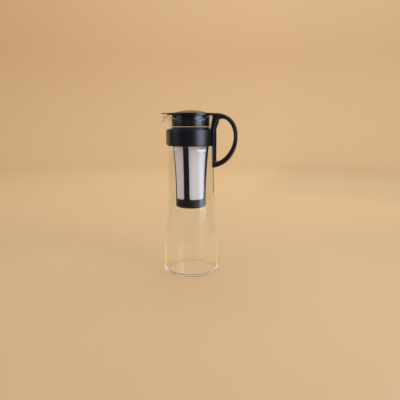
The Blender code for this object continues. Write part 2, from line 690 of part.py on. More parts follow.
def make_plug():
    """The hollow plug that hangs in the mouth, open at the bottom."""
    inner = PLUG_RADIUS - PLUG_WALL
    profile = ((inner, PLUG_BOTTOM_Z), (inner, PLUG_TOP_Z), (PLUG_RADIUS, PLUG_TOP_Z),
               (PLUG_RADIUS, PLUG_BOTTOM_Z + PLUG_ROUNDING),
               (PLUG_RADIUS - PLUG_ROUNDING, PLUG_BOTTOM_Z))
    add_object("lid_plug", turned("lid_plug", profile), (0, 0, LID_BOTTOM_Z),
               black_plastic("plug_plastic", 0.26))


def strainer_radius(height):
    """Outer radius of the strainer's frame below its bead: narrow foot, widening upward."""
    share = (height - RING_BOTTOM_Z) / (STRAINER_STRAIGHT_Z - RING_BOTTOM_Z)
    widening = np.clip(share, 0, 1) ** STRAINER_TAPER_SHARE
    return STRAINER_FOOT_RADIUS + (THROAT_RADIUS - STRAINER_FOOT_RADIUS) * widening


def frame_bore():
    """Inner (radius, height) points of the frame, from its foot ring up to its collar."""
    heights = np.linspace(RING_TOP_Z, COLLAR_TOP_Z, 9)
    return np.stack((strainer_radius(heights) - COLLAR_WALL, heights), axis=1)


def strainer_profile():
    """Closed section of the strainer's frame, with the groove for the cap's lugs."""
    heights = np.linspace(RING_BOTTOM_Z, BEAD_BOTTOM_Z - BEAD_HEIGHT, 9)
    outside = np.stack((strainer_radius(heights), heights), axis=1)
    bead_top = BEAD_BOTTOM_Z + BEAD_HEIGHT
    collar = ((BEAD_RADIUS, BEAD_BOTTOM_Z), (BEAD_RADIUS, bead_top),
              (COLLAR_RADIUS, bead_top + BEAD_HEIGHT), (COLLAR_RADIUS, COLLAR_TOP_Z))
    groove = FRAME_BORE + CAP_LUG_DEPTH
    foot = ((FRAME_BORE, GROOVE_TOP_Z), (groove, GROOVE_TOP_Z), (groove, LIP_TOP_Z),
            (FRAME_BORE, LIP_TOP_Z), (FRAME_BORE, RING_BOTTOM_Z))
    return np.vstack((outside, collar, frame_bore()[::-1], foot))


def window_cutters():
    """Four rounded blocks, one in each quarter, that leave four even ribs between them."""
    reach = COLLAR_RADIUS + CUT_OVERRUN
    half = RIB_WIDTH / 2
    top = BAND_BOTTOM_Z + WINDOW_TOP_LIFT
    blocks = []
    for quarter in range(4):
        blocks.append(box_mesh("window", (half, half, RING_TOP_Z), (reach, reach, top),
                               turn=quarter * math.pi / 2, rounding=WINDOW_ROUNDING))
    return joined("windows", blocks)


def lug_bodies(name, margin, turn, low, high):
    """Even blocks round the cap's spigot: its lugs, or with a margin their entry slots."""
    reach = FRAME_BORE + CAP_LUG_DEPTH - CLEARANCE + margin
    half = CAP_LUG_WIDTH / 2 + margin
    blocks = []
    for k in range(LUG_COUNT):
        angle = turn + k * 2 * math.pi / LUG_COUNT
        blocks.append(box_mesh("lug", (FRAME_BORE - CAP_WALL, -half, low),
                               (reach, half, high), turn=angle))
    return joined(name, blocks)


def make_strainer_frame():
    """The strainer's moulded frame: collar, bead, four ribs and foot ring."""
    mesh = turned("strainer_frame", strainer_profile())
    frame = add_object("strainer_frame", mesh, (0, 0, WAIST_Z), black_plastic("frame_plastic"))
    combine(frame, window_cutters(), "DIFFERENCE")
    slots = lug_bodies("entry_slots", CLEARANCE, CAP_TWIST_ANGLE, RING_BOTTOM_Z - CUT_OVERRUN,
                       LIP_TOP_Z + CAP_LUG_HEIGHT / 2)
    combine(frame, slots, "DIFFERENCE")


def make_mesh_sleeve():
    """The fine mesh, as a thin sleeve that lines the frame behind its ribs."""
    bottom = GROOVE_TOP_Z + CLEARANCE
    top = BAND_BOTTOM_Z + WINDOW_TOP_LIFT + MESH_OVERLAP
    bore = frame_bore()
    between = bore[:, 1][(bore[:, 1] > bottom) & (bore[:, 1] < top)]
    heights = np.concatenate(((bottom,), between, (top,)))
    radius = np.interp(heights, bore[:, 1], bore[:, 0]) - CLEARANCE
    outside = np.stack((radius, heights), axis=1)
    inside = np.stack((radius - MESH_THICKNESS, heights), axis=1)[::-1]
    white = make_material("white_mesh", (0.62, 0.58, 0.62), 0.70)
    mesh = turned("strainer_mesh", np.vstack((outside, inside)))
    add_object("strainer_mesh", mesh, (0, 0, WAIST_Z), white)


def make_cap():
    """The cap that closes the foot of the strainer and twists off on its three lugs."""
    outer = STRAINER_FOOT_RADIUS
    spigot = FRAME_BORE - CLEARANCE
    inner = spigot - CAP_WALL
    lug_bottom = LIP_TOP_Z + CLEARANCE
    spigot_top = lug_bottom + CAP_LUG_HEIGHT
    foot = arc((outer - CAP_ROUNDING, CAP_BOTTOM_Z + CAP_ROUNDING), CAP_ROUNDING,
               -math.pi / 2, 0, 4)
    profile = np.vstack(((0, CAP_BOTTOM_Z), foot, (outer, CAP_TOP_Z), (spigot, CAP_TOP_Z),
                         (spigot, spigot_top), (inner, spigot_top),
                         (inner, CAP_BOTTOM_Z + CAP_WALL), (0, CAP_BOTTOM_Z + CAP_WALL)))
    origin = (0, 0, CAP_TOP_Z)
    cap = add_object("strainer_cap", turned("strainer_cap", profile), origin,
                     black_plastic("cap_plastic"))
    combine(cap, lug_bodies("cap_lugs", 0, 0, lug_bottom, spigot_top), "UNION")


def main():
    """Build every piece."""
    clear_scene()
    make_carafe()
    make_band()
    make_clasp()
    make_pin()
    make_handle()
    make_lid()
    make_plug()
    make_strainer_frame()
    make_mesh_sleeve()
    make_cap()


main()
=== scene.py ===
# %% [markdown]
# # A cold brew coffee maker, dressed for its portrait
#
# The pot is a tall glass carafe.  A black band grips its waist and carries a loop handle, a
# strainer full of coffee hangs in its neck, and a domed lid with a beak covers the mouth.
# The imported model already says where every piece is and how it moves.  Each piece here is a
# finer surface in the very same place, worked out with numpy, and each finish is a material
# made of nodes.

# %% Load the frame
import json
import math

import bmesh
import bpy
import numpy as np
from mathutils import Matrix, Vector

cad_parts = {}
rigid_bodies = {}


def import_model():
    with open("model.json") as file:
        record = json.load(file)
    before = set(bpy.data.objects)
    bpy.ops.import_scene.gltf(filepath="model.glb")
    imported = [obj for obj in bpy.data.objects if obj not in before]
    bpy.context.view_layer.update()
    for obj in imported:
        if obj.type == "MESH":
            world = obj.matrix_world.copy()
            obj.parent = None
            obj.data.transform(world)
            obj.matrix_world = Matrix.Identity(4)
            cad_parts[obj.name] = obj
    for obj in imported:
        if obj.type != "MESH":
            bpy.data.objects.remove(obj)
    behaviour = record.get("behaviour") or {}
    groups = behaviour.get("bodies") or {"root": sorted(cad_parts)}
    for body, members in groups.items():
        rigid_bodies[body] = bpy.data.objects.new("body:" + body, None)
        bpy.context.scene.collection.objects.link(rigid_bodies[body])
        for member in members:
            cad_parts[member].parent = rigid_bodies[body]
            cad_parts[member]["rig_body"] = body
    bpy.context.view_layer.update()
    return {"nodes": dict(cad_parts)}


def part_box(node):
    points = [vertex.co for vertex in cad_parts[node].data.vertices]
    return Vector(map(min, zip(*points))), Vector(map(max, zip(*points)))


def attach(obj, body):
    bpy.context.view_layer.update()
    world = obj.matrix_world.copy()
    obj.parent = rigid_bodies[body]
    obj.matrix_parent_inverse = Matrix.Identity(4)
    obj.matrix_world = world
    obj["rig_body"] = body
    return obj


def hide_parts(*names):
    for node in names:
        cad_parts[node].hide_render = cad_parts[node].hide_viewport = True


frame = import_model()


def placed(name, data):
    """A new object in the scene that shows this data."""
    item = bpy.data.objects.new(name, data)
    bpy.context.scene.collection.objects.link(item)
    return item


# %% [markdown]
# ## Camera
#
# A photograph taken with a normal lens from about three quarters of a metre shows the base
# as a wide ellipse and the band with a gentle sag.  One could guess a pitch and step back
# until the pot has its height in the picture, but then these two curves come out wrong.  So
# the camera is fitted to the curves: it looks a little down, from the front and a little to
# the right.

# %% Camera
CAMERA_AZIMUTH = math.radians(15.0)
CAMERA_PITCH = math.radians(10.3)
CAMERA_REACH = 0.7863
CAMERA_ASIDE = 0.0169
CAMERA_HEIGHT = 0.2762
LENS_MM = 38.52
SENSOR_MM = 36.0


def level_direction(azimuth):
    """Unit vector away from the pot: azimuth 0 is towards -Y, and it grows towards +X."""
    return Vector((math.sin(azimuth), -math.cos(azimuth), 0))


def make_camera():
    """Stand the camera at its place and look along its azimuth, pitched down."""
    away = level_direction(CAMERA_AZIMUTH)
    aside = Vector((-away.y, away.x, 0))
    look = -away * math.cos(CAMERA_PITCH) - Vector((0, 0, math.sin(CAMERA_PITCH)))
    camera = placed("portrait_camera", bpy.data.cameras.new("portrait_camera"))
    camera.data.lens = LENS_MM
    camera.data.sensor_width = SENSOR_MM
    camera.location = away * CAMERA_REACH + aside * CAMERA_ASIDE + Vector((0, 0, CAMERA_HEIGHT))
    camera.rotation_euler = look.to_track_quat("-Z", "Y").to_euler()
    bpy.context.scene.camera = camera
    print("camera at", [round(value, 3) for value in camera.location])


make_camera()

# %% [markdown]
# ## Surfaces from grids
#
# Every new piece is a grid of points: rows run one way over the surface and columns the
# other.  One could join vertices one by one, but numpy works out all the points at once, and
# a formula for a point is also the clearest drawing of the piece.  Where a grid closes on
# itself the last row meets the first, and where it ends on the axis the points fall together
# into a pole, which the merge below closes.

# %% Grid helpers
MERGE_DISTANCE = 2e-6
SHARP_ANGLE = math.radians(42.0)


def grid_quads(rows, columns, wrap_rows, wrap_columns):
    """Corner numbers of a grid's four-sided faces, with the points numbered row by row."""
    row = np.arange(rows if wrap_rows else rows - 1)[:, None]
    column = np.arange(columns if wrap_columns else columns - 1)[None, :]
    next_row, next_column = (row + 1) % rows, (column + 1) % columns
    corners = (row * columns + column, row * columns + next_column,
               next_row * columns + next_column, next_row * columns + column)
    return np.stack(corners, axis=-1).reshape(-1, 4)


def mesh_from_grids(name, grids):
    """One mesh from (points, wrap_rows, wrap_columns) grids, with merged seams and poles."""
    sizes = [grid.shape[0] * grid.shape[1] for grid, _, _ in grids]
    starts = np.concatenate(((0,), np.cumsum(sizes)[:-1]))
    points = np.concatenate([grid.reshape(-1, 3) for grid, _, _ in grids])
    quads = np.concatenate([grid_quads(*grid.shape[:2], rows, columns) + start
                            for (grid, rows, columns), start in zip(grids, starts)])
    mesh = bpy.data.meshes.new(name)
    mesh.vertices.add(len(points))
    mesh.vertices.foreach_set("co", points.astype(np.float32).ravel())
    mesh.loops.add(quads.size)
    mesh.loops.foreach_set("vertex_index", quads.astype(np.int32).ravel())
    mesh.polygons.add(len(quads))
    mesh.polygons.foreach_set("loop_start", np.arange(0, quads.size, 4, dtype=np.int32))
    mesh.update(calc_edges=True)
    working = bmesh.new()
    working.from_mesh(mesh)
    bmesh.ops.remove_doubles(working, verts=working.verts, dist=MERGE_DISTANCE)
    loose = [edge for edge in working.edges if not edge.link_faces]
    bmesh.ops.delete(working, geom=loose, context="EDGES")
    bmesh.ops.recalc_face_normals(working, faces=working.faces)
    working.to_mesh(mesh)
    working.free()
    return mesh


def add_piece(name, mesh, material, node):
    """Show the mesh in place of a CAD node, riding on that node's body."""
    mesh.shade_smooth()
    mesh.set_sharp_from_angle(angle=SHARP_ANGLE)
    mesh.materials.append(material)
    piece = placed(name, mesh)
    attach(piece, frame["nodes"][node]["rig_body"])
    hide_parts(node)
    print(name, "has", len(mesh.polygons), "faces")
    return piece


def paired(first, second):
    """Two coordinates side by side."""
    return np.stack((first, second), axis=-1)


def repeated(points, count):
    """The same points once for each direction."""
    return np.broadcast_to(points, (count, *np.shape(points)))


def carried_round(profile, angles):
    """Points of a (radius, height) profile, or one profile for each angle, turned about Z."""
    profile = np.broadcast_to(profile, (len(angles), *np.shape(profile)[-2:]))
    cosine, sine = np.cos(angles)[:, None], np.sin(angles)[:, None]
    radius, height = profile[..., 0], profile[..., 1]
    return np.stack((radius * cosine, radius * sine, height), axis=-1)


def full_turn(steps):
    """Even angles all the way round."""
    return np.arange(steps) * 2 * math.pi / steps


def turned(profile, steps=192):
    """A closed profile spun once about Z."""
    return carried_round(np.asarray(profile), full_turn(steps)), True, True


def half_cosine(share):
    """Falls from 1 to 0 along half a cosine wave as the share runs from 0 to 1."""
    return (1 + np.cos(math.pi * np.clip(share, 0, 1))) / 2


def bezier(controls, shares):
    """Cubic Bezier points: v^3 a + 3 v^2 u b + 3 v u^2 c + u^3 d, with v = 1 - u."""
    a, b, c, d = (controls[..., k, :][..., None, :] for k in range(4))
    u = np.asarray(shares)[..., None]
    v = 1 - u
    return v ** 3 * a + 3 * v ** 2 * u * b + 3 * v * u ** 2 * c + u ** 3 * d


def arc(centre, radius, start, end, steps):
    """Points at even angles along a circle in the (radius, height) plane."""
    angles = np.linspace(start, end, steps + 1)
    return np.array(centre) + radius * paired(np.cos(angles), np.sin(angles))


def rectangle(inner, outer, low, high):
    """Four corners, counter-clockwise from the lower inner one."""
    return (inner, low), (outer, low), (outer, high), (inner, high)


def filleted(corners, radii, steps=5):
    """A closed outline whose corners are arcs that touch both sides.

    With half the corner's angle h, the arc starts r / tan h before the corner, and its centre
    lies r / sin h away from the corner along the line that halves it.
    """
    corners = np.asarray(corners, dtype=float)
    radii = np.broadcast_to(radii, len(corners))[:, None]
    back = np.roll(corners, 1, axis=0) - corners
    on = np.roll(corners, -1, axis=0) - corners
    back /= np.linalg.norm(back, axis=1, keepdims=True)
    on /= np.linalg.norm(on, axis=1, keepdims=True)
    half = np.arccos(np.clip((back * on).sum(1, keepdims=True), -1, 1)) / 2
    middle = (back + on) / np.linalg.norm(back + on, axis=1, keepdims=True)
    centre = corners + middle * radii / np.sin(half)
    start = corners + back * radii / np.tan(half) - centre
    end = corners + on * radii / np.tan(half) - centre
    first = np.arctan2(start[:, 1], start[:, 0])[:, None]
    sweep = np.arctan2(end[:, 1], end[:, 0])[:, None] - first
    sweep = (sweep + math.pi) % (2 * math.pi) - math.pi
    angles = first + sweep * np.linspace(0, 1, steps + 1)
    turns = paired(np.cos(angles), np.sin(angles))
    return (centre[:, None] + radii[:, None] * turns).reshape(-1, 2)


def with_flat_ends(grid):
    """Close the ends of a carried profile with a fan of faces round the middle of each end."""
    first, last = (np.broadcast_to(row.mean(axis=0), row.shape)[None] for row in grid[[0, -1]])
    return np.concatenate((first, grid, last)), False, True


print("grid helpers ready")

# %% [markdown]
# ## Finishes shared by the black pieces
#
# Moulded polypropylene is never quite even: the steel tool leaves a fine spark-eroded grain,
# the gloss drifts over a few centimetres, and wiping leaves faint scuffs.  An image could
# hold all this, but it would have one fixed scale.  A node group built once gives every
# black piece the same effects with its own numbers, and works from object coordinates.

# %% Node helpers
def new_group(name, inputs, outputs):
    """An empty shader group with float inputs (name, value) and float outputs."""
    group = bpy.data.node_groups.new(name, "ShaderNodeTree")
    for label, value in inputs:
        socket = group.interface.new_socket(label, in_out="INPUT", socket_type="NodeSocketFloat")
        socket.default_value = value
    for label in outputs:
        group.interface.new_socket(label, in_out="OUTPUT", socket_type="NodeSocketFloat")
    given, result = group.nodes.new("NodeGroupInput"), group.nodes.new("NodeGroupOutput")
    return group, given.outputs, result.inputs


def feed(tree, socket, value):
    """Set a socket to a number or a tuple, or link another node's output to it."""
    if isinstance(value, (int, float, tuple)):
        socket.default_value = value
    else:
        tree.links.new(value, socket)


def math_step(tree, operation, *values):
    """One Math node on numbers or outputs."""
    node = tree.nodes.new("ShaderNodeMath")
    node.operation = operation
    for socket, value in zip(node.inputs, values):
        feed(tree, socket, value)
    return node.outputs[0]


def dress(tree, node, **values):
    """Set or link a node's inputs, with underscores for the spaces in names; gives its outputs."""
    for label, value in values.items():
        feed(tree, node.inputs[label.replace("_", " ")], value)
    return node.outputs


def new_node(tree, kind, **values):
    """A new node's outputs, once its inputs are set or linked."""
    return dress(tree, tree.nodes.new("ShaderNode" + kind), **values)


def times(tree, first, second):
    """The product of two numbers or outputs."""
    return math_step(tree, "MULTIPLY", first, second)


def larger(tree, first, second):
    """The larger of two numbers or outputs."""
    return math_step(tree, "MAXIMUM", first, second)


def rest_of(tree, share):
    """What a share leaves of 1."""
    return math_step(tree, "SUBTRACT", 1.0, share)


def beyond(tree, value, limit):
    """1 where a value is above a limit, and 0 elsewhere."""
    return math_step(tree, "GREATER_THAN", value, limit)


def spread(tree, value, low, high, new_low=0.0, new_high=1.0):
    """Map Range from one stretch of values to another, smooth at both ends."""
    node = tree.nodes.new("ShaderNodeMapRange")
    node.interpolation_type = "SMOOTHSTEP"
    return dress(tree, node, Value=value, From_Min=low, From_Max=high, To_Min=new_low,
                 To_Max=new_high)["Result"]


def mixed(tree, share, first, second):
    """A colour between two, the second one where the share is 1."""
    node = tree.nodes.new("ShaderNodeMix")
    node.data_type = "RGBA"
    return dress(tree, node, Factor=share, A=first, B=second)["Result"]


def object_place(tree):
    """Object coordinates."""
    return new_node(tree, "TexCoord")["Object"]


def noise(tree, scale, detail=2.0, stretch=(1.0, 1.0, 1.0)):
    """Noise on object coordinates; a stretch below 1 draws the pattern out along that axis."""
    place = new_node(tree, "Mapping", Vector=object_place(tree), Scale=stretch)["Vector"]
    return new_node(tree, "TexNoise", Vector=place, Scale=scale, Detail=detail)["Fac"]


def group_node(tree, group, **values):
    """Place a group in a material, with its own values."""
    node = tree.nodes.new("ShaderNodeGroup")
    node.node_tree = group
    return dress(tree, node, **values)


print("node helpers ready")

# %% Moulded grain group
DRIFT_SCALE = 45.0
NOISE_MIDDLE = 0.5
STREAK_SCALE = 260.0
STREAK_STRETCH = (1.0, 1.0, 0.18)
STREAK_EDGE = (0.58, 0.74)


def make_moulded_group():
    """Grain height, drifting roughness and a scuff mask for moulded plastic."""
    inputs = (("Grain Scale", 1800.0), ("Roughness", 0.3), ("Drift", 0.06), ("Scuffs", 0.1))
    group, given, result = new_group("moulded_plastic", inputs, ("Height", "Roughness", "Scuff"))
    streaks = noise(group, STREAK_SCALE, 4.0, STREAK_STRETCH)
    scuff = times(group, spread(group, streaks, *STREAK_EDGE), given["Scuffs"])
    wide = noise(group, DRIFT_SCALE, 1.0)
    drift = times(group, math_step(group, "SUBTRACT", wide, NOISE_MIDDLE), given["Drift"])
    rough = math_step(group, "ADD", math_step(group, "ADD", given["Roughness"], drift), scuff)
    group.links.new(noise(group, given["Grain Scale"]), result["Height"])
    group.links.new(rough, result["Roughness"])
    group.links.new(scuff, result["Scuff"])
    return group


MOULDED = make_moulded_group()
print("group:", MOULDED.name)

# %% Black plastic
BLACK_TINT = (0.0065, 0.0072, 0.0105, 1.0)
SCUFF_TINT = (0.035, 0.036, 0.042, 1.0)
PLASTIC_INDEX = 1.49
GRAIN_STRENGTH = 0.35


def new_material(name):
    """A material with a plain Principled shader, and its tree."""
    material = bpy.data.materials.new(name)
    material.use_nodes = True
    return material, material.node_tree, material.node_tree.nodes["Principled BSDF"]


def bumped(tree, height, depth, strength):
    """A normal from a height, in metres of real depth."""
    return new_node(tree, "Bump", Height=height, Distance=depth, Strength=strength)["Normal"]


def make_black(name, roughness, grain_depth, scuffs):
    """Black polypropylene: dark with a blue cast, a shade greyer where it is scuffed."""
    material, tree, shader = new_material(name)
    finish = group_node(tree, MOULDED, Roughness=roughness, Scuffs=scuffs)
    dress(tree, shader, Base_Color=mixed(tree, finish["Scuff"], BLACK_TINT, SCUFF_TINT),
          Roughness=finish["Roughness"], IOR=PLASTIC_INDEX,
          Normal=bumped(tree, finish["Height"], grain_depth, GRAIN_STRENGTH))
    return material


SATIN_BLACK = make_black("satin_black", roughness=0.34, grain_depth=0.00004, scuffs=0.16)
LID_BLACK = make_black("lid_black", roughness=0.26, grain_depth=0.00001, scuffs=0.10)
print("black finishes:", SATIN_BLACK.name, LID_BLACK.name)

# %% [markdown]
# ## Glass
#
# The carafe is blown borosilicate glass, clear, two millimetres thick.  A blown wall is never
# perfectly flat, so a very shallow ripple bends what is seen through it.  A ray tracer would
# need thousands of samples to bring light through the wall onto the strainer, so shadow rays
# and rays that bounce off a matt surface pass straight through.  So do mirrored rays beside
# the strainer where they meet the wall nearly face-on.  Shadow and mirrored rays lose what a
# real wall reflects at that angle, and on the way out of the glass that is the higher share
# of an inner face.  Rays from the camera always bend as in real glass.  Rays caught in the
# wall for three mirrorings or more are let straight out only at the two sides of the heel,
# picked by position across the pot: a painted highlight that makes the ring at the base
# bright there and dark in front.

# %% Glass material
GLASS_INDEX = 1.47
GLASS_TINT = (0.985, 0.995, 0.99, 1.0)
SMEAR_SCALE = 38.0
SMEAR_EDGE = (0.55, 0.8)
SMEAR_ROUGHNESS = 0.03
RIPPLE_SCALE = 22.0
RIPPLE_STRETCH = (1.0, 1.0, 0.35)
RIPPLE_DEPTH = 0.0002
RIPPLE_STRENGTH = 0.25
MIRROR_FADE = (0.100, 0.118)
SQUARE_HIT = (0.05, 0.10)
ONCE = 0.5
THRICE = 2.5
PAINTED_GLOW_SIDES = (0.024, 0.042)
PAINTED_GLOW_STRENGTH = 0.8


def make_glass():
    """Clear glass with a shallow blown ripple, see-through to shadow and bounce rays."""
    material, tree, shader = new_material("clear_glass")
    smears = spread(tree, noise(tree, SMEAR_SCALE, 3.0), *SMEAR_EDGE, 0.0, SMEAR_ROUGHNESS)
    ripple = noise(tree, RIPPLE_SCALE, 1.0, RIPPLE_STRETCH)
    dress(tree, shader, Base_Color=GLASS_TINT, IOR=GLASS_INDEX, Transmission_Weight=1.0,
          Roughness=smears, Normal=bumped(tree, ripple, RIPPLE_DEPTH, RIPPLE_STRENGTH))
    rays = new_node(tree, "LightPath")
    axes = new_node(tree, "SeparateXYZ", Vector=object_place(tree))
    mirrored = times(tree, rays["Is Reflection Ray"], rays["Is Glossy Ray"])
    mirrored = times(tree, mirrored, spread(tree, axes["Z"], *MIRROR_FADE))
    straight = larger(tree, rays["Is Shadow Ray"], beyond(tree, rays["Transparent Depth"], ONCE))
    leaving = times(tree, new_node(tree, "NewGeometry")["Backfacing"], straight)
    index = spread(tree, leaving, 0.0, 1.0, GLASS_INDEX, 1 / GLASS_INDEX)
    fresnel = new_node(tree, "Fresnel", IOR=index)["Fac"]
    mirrored = times(tree, mirrored, spread(tree, fresnel, *SQUARE_HIT, 1.0, 0.0))
    passing = times(tree, larger(tree, rays["Is Shadow Ray"], mirrored), rest_of(tree, fresnel))
    # Painted highlight: by position, trapped rays pass straight out only at the two sides, so the
    # heel ring is bright there and dark in front.
    sides = spread(tree, math_step(tree, "ABSOLUTE", axes["X"]), *PAINTED_GLOW_SIDES, 0.0, PAINTED_GLOW_STRENGTH)
    painted_heel_glow = times(tree, sides, beyond(tree, rays["Glossy Depth"], THRICE))
    through = larger(tree, larger(tree, passing, rays["Is Diffuse Ray"]), painted_heel_glow)
    dress(tree, shader, Alpha=rest_of(tree, through))
    return material


CLEAR_GLASS = make_glass()
print("glass index:", GLASS_INDEX)

# %% [markdown]
# ## The carafe's shape
#
# The body is a turned form: a tapering wall, a shoulder, a waist and a flared neck.  Its rim
# isn't level, though.  It dips on both sides and curls over into a spout, so a lathe can't
# make it whole.  Here each direction round the axis has its own section, and the rim's dip
# and the spout's curl are shares that rise and fall with the direction.

# %% Carafe sizes
BASE_RADIUS = 0.050
SHOULDER_RADIUS = 0.0428
WAIST_RADIUS = 0.0363
MOUTH_FLARE = 0.0064
HEEL_RADIUS = 0.005
GLASS_WALL = 0.002
GLASS_FLOOR = 0.003
TAPER_END_Z = 0.195
SHOULDER_Z = 0.2265
WAIST_Z = 0.247
NECK_RISE = 0.0413
RIM_EDGE = 0.0006
RIM_DIP = 0.0111
DIP_CENTRE = math.radians(100.0)
DIP_HALF = math.radians(72.6)
SPOUT_HALF = math.radians(28.0)
SPOUT_SWELL = 0.0025
SPOUT_DROP = 0.0033
SPOUT_REACH = 0.01026
SPOUT_DROOP = 0.0065
FLARE_SHARES = np.array(((0, 0), (0, 0.273), (0.776, 0.620), (1, 1)))
LIP_SHARES = np.array(((0, 0), (0.126, 0.615), (0.903, 1.077), (1, -1)))
CREST_Z = WAIST_Z + NECK_RISE

# %% Carafe sections
def body_radius(height):
    """Outer radius below the waist: one half cosine for the taper, one for the shoulder."""
    taper = half_cosine((height - HEEL_RADIUS) / (TAPER_END_Z - HEEL_RADIUS))
    shoulder = half_cosine((height - SHOULDER_Z) / (WAIST_Z - SHOULDER_Z))
    below = SHOULDER_RADIUS + (BASE_RADIUS - SHOULDER_RADIUS) * taper
    above = WAIST_RADIUS + (SHOULDER_RADIUS - WAIST_RADIUS) * shoulder
    return np.where(height < SHOULDER_Z, below, above)


def below_waist():
    """Outer and inner (radius, height) points from the axis to just under the waist."""
    heights = np.concatenate((np.linspace(HEEL_RADIUS, SHOULDER_Z, 48)[1:],
                              np.linspace(SHOULDER_Z, WAIST_Z, 25)[1:-1]))
    radius = body_radius(heights)
    heel = arc((BASE_RADIUS - HEEL_RADIUS, HEEL_RADIUS), HEEL_RADIUS, -math.pi / 2, 0, 12)
    corner = (BASE_RADIUS - GLASS_WALL - HEEL_RADIUS, GLASS_FLOOR + HEEL_RADIUS)
    inner_heel = arc(corner, HEEL_RADIUS, -math.pi / 2, 0, 12)
    outer = np.vstack(((0, 0), heel, paired(radius, heights)))
    inner = np.vstack(((0, GLASS_FLOOR), inner_heel,
                       paired(radius - GLASS_WALL, heights)))
    return outer, inner


def neck_lines(turns):
    """The wall's middle line above the waist, one for each direction from the spout."""
    spout = half_cosine(np.abs(turns) / SPOUT_HALF)[:, None, None]
    dip = half_cosine(np.abs(np.abs(turns) - DIP_CENTRE) / DIP_HALF)
    middle = GLASS_WALL / 2
    start = np.array((WAIST_RADIUS - middle, WAIST_Z))
    plain_reach = np.array((MOUTH_FLARE, NECK_RISE - middle - RIM_EDGE))
    reach = plain_reach + spout * np.array((SPOUT_SWELL, -SPOUT_DROP))
    controls = start + FLARE_SHARES * reach
    fine = np.linspace(0, 1, 400)
    plain_rise = bezier(FLARE_SHARES * plain_reach, fine)[:, 1]
    end_share = np.interp(plain_reach[1] - RIM_DIP * dip, plain_rise, fine)
    wall = bezier(controls, end_share[:, None] * np.linspace(0, 1, 41))
    along = wall[:, -1] - wall[:, -2]
    along /= np.linalg.norm(along, axis=1, keepdims=True)
    steps = np.arange(4)[None, :, None] / 3
    plain = wall[:, -1:] + along[:, None] * RIM_EDGE * steps
    curl = wall[:, -1:] + LIP_SHARES * np.array((SPOUT_REACH, SPOUT_DROOP))
    lip = bezier(plain + (curl - plain) * spout, np.linspace(0, 1, 17))
    return np.concatenate((wall, lip[:, 1:]), axis=1)


def wall_sides(line):
    """Both faces of the wall, half its thickness to each side of the middle line, and its lip."""
    slope = np.gradient(line, axis=1)
    slope[:, 0] = (0, 1)
    slope /= np.linalg.norm(slope, axis=-1, keepdims=True)
    outward = paired(slope[..., 1], -slope[..., 0])
    half = GLASS_WALL / 2
    turn = (np.arange(1, 8) * math.pi / 8)[None, :, None]
    lip = line[:, -1:] + half * (np.cos(turn) * outward[:, -1:] + np.sin(turn) * slope[:, -1:])
    return line + outward * half, line - outward * half, lip


def carafe_sections(turns):
    """Closed sections of the whole glass wall, one for each direction from the spout."""
    outer, inner = below_waist()
    neck_outer, neck_inner, lip = wall_sides(neck_lines(turns))
    count = len(turns)
    return np.concatenate((repeated(outer, count), neck_outer, lip, neck_inner[:, ::-1],
                           repeated(inner[::-1], count)), axis=1)


def make_carafe():
    """The glass in one piece; the spout points towards -X."""
    turns = full_turn(288) - math.pi
    points = carried_round(carafe_sections(turns), turns + math.pi)
    mesh = mesh_from_grids("carafe_glass", [(points, True, True)])
    add_piece("carafe_glass", mesh, CLEAR_GLASS, "glass_carafe")


make_carafe()

# %% [markdown]
# ## Band, clasp and pin
#
# The band is a strap moulded to the waist: plain and round outside, and shaped to the glass
# inside.  It is open under the spout, where a small plate hinged on a steel pin snaps over
# the gap.  A boolean on a cylinder would do, but a profile carried round gives evenly spaced
# faces that shade cleanly.  Only the small barrels of the hinge are joined with a union.

# %% Band sizes
CLEARANCE = 0.0003
FINE_ROUNDING = 0.0002
ROUND_PROFILE = 0.5
BAND_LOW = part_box("neck_band")[0].z
BAND_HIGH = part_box("neck_band")[1].z
BAND_MIDDLE = (BAND_LOW + BAND_HIGH) / 2
BAND_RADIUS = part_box("neck_band")[1].y
BAND_SLIT = 0.003
BAND_ROUNDING = 0.0006
PIN_AXIS = (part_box("clasp_pin")[0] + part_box("clasp_pin")[1]) / 2
PIN_RADIUS = 0.0008
KNUCKLE_RADIUS = 0.0020
KNUCKLE_HEIGHT = 0.0150
CLASP_STANDOFF = 0.00035
CLASP_PLATE = 0.0013
CLASP_ROUNDING = CLASP_PLATE * 0.4
CLASP_LOW, CLASP_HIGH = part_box("band_clasp")[0].z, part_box("band_clasp")[1].z
HOOK_OFFSET = 0.0095
HOOK_WIDTH = 0.0010
HOOK_DEPTH = 0.0012
CLASP_LIP = 0.0016
KEY_SIZE = 0.012
KEY_DEPTH = 0.0018
print("band from", round(BAND_LOW, 4), "to", round(BAND_HIGH, 4), "m")

# %% Band
def neck_outer_radius(heights, turn=math.pi):
    """Outer radius of the glass at some heights, in one direction from the spout."""
    outer, _, _ = wall_sides(neck_lines(np.array((turn,))))
    below, _ = below_waist()
    line = np.vstack((below[1:], outer[0]))
    return np.interp(heights, line[:, 1], line[:, 0])


def solid_block(low, high, turn=0.0):
    """A box with rounded edges, turned about Z, for a boolean."""
    working = bmesh.new()
    bmesh.ops.create_cube(working, size=1.0)
    low, high = Vector(low), Vector(high)
    bmesh.ops.scale(working, vec=high - low, verts=working.verts)
    bmesh.ops.translate(working, vec=(high + low) / 2, verts=working.verts)
    bmesh.ops.bevel(working, geom=working.edges, offset=FINE_ROUNDING, segments=2,
                    profile=ROUND_PROFILE, affect="EDGES")
    mesh = bpy.data.meshes.new("block")
    working.to_mesh(mesh)
    working.free()
    mesh.transform(Matrix.Rotation(turn, 4, "Z"))
    return mesh


def barrel(radius, low, high, rounding=0.0):
    """A round bar on the pin's axis."""
    profile = filleted(rectangle(0, radius, low, high), (0, rounding, rounding, 0))
    points, _, _ = turned(profile, 48)
    return mesh_from_grids("barrel", [(points + np.array((PIN_AXIS.x, PIN_AXIS.y, 0)), True, True)])


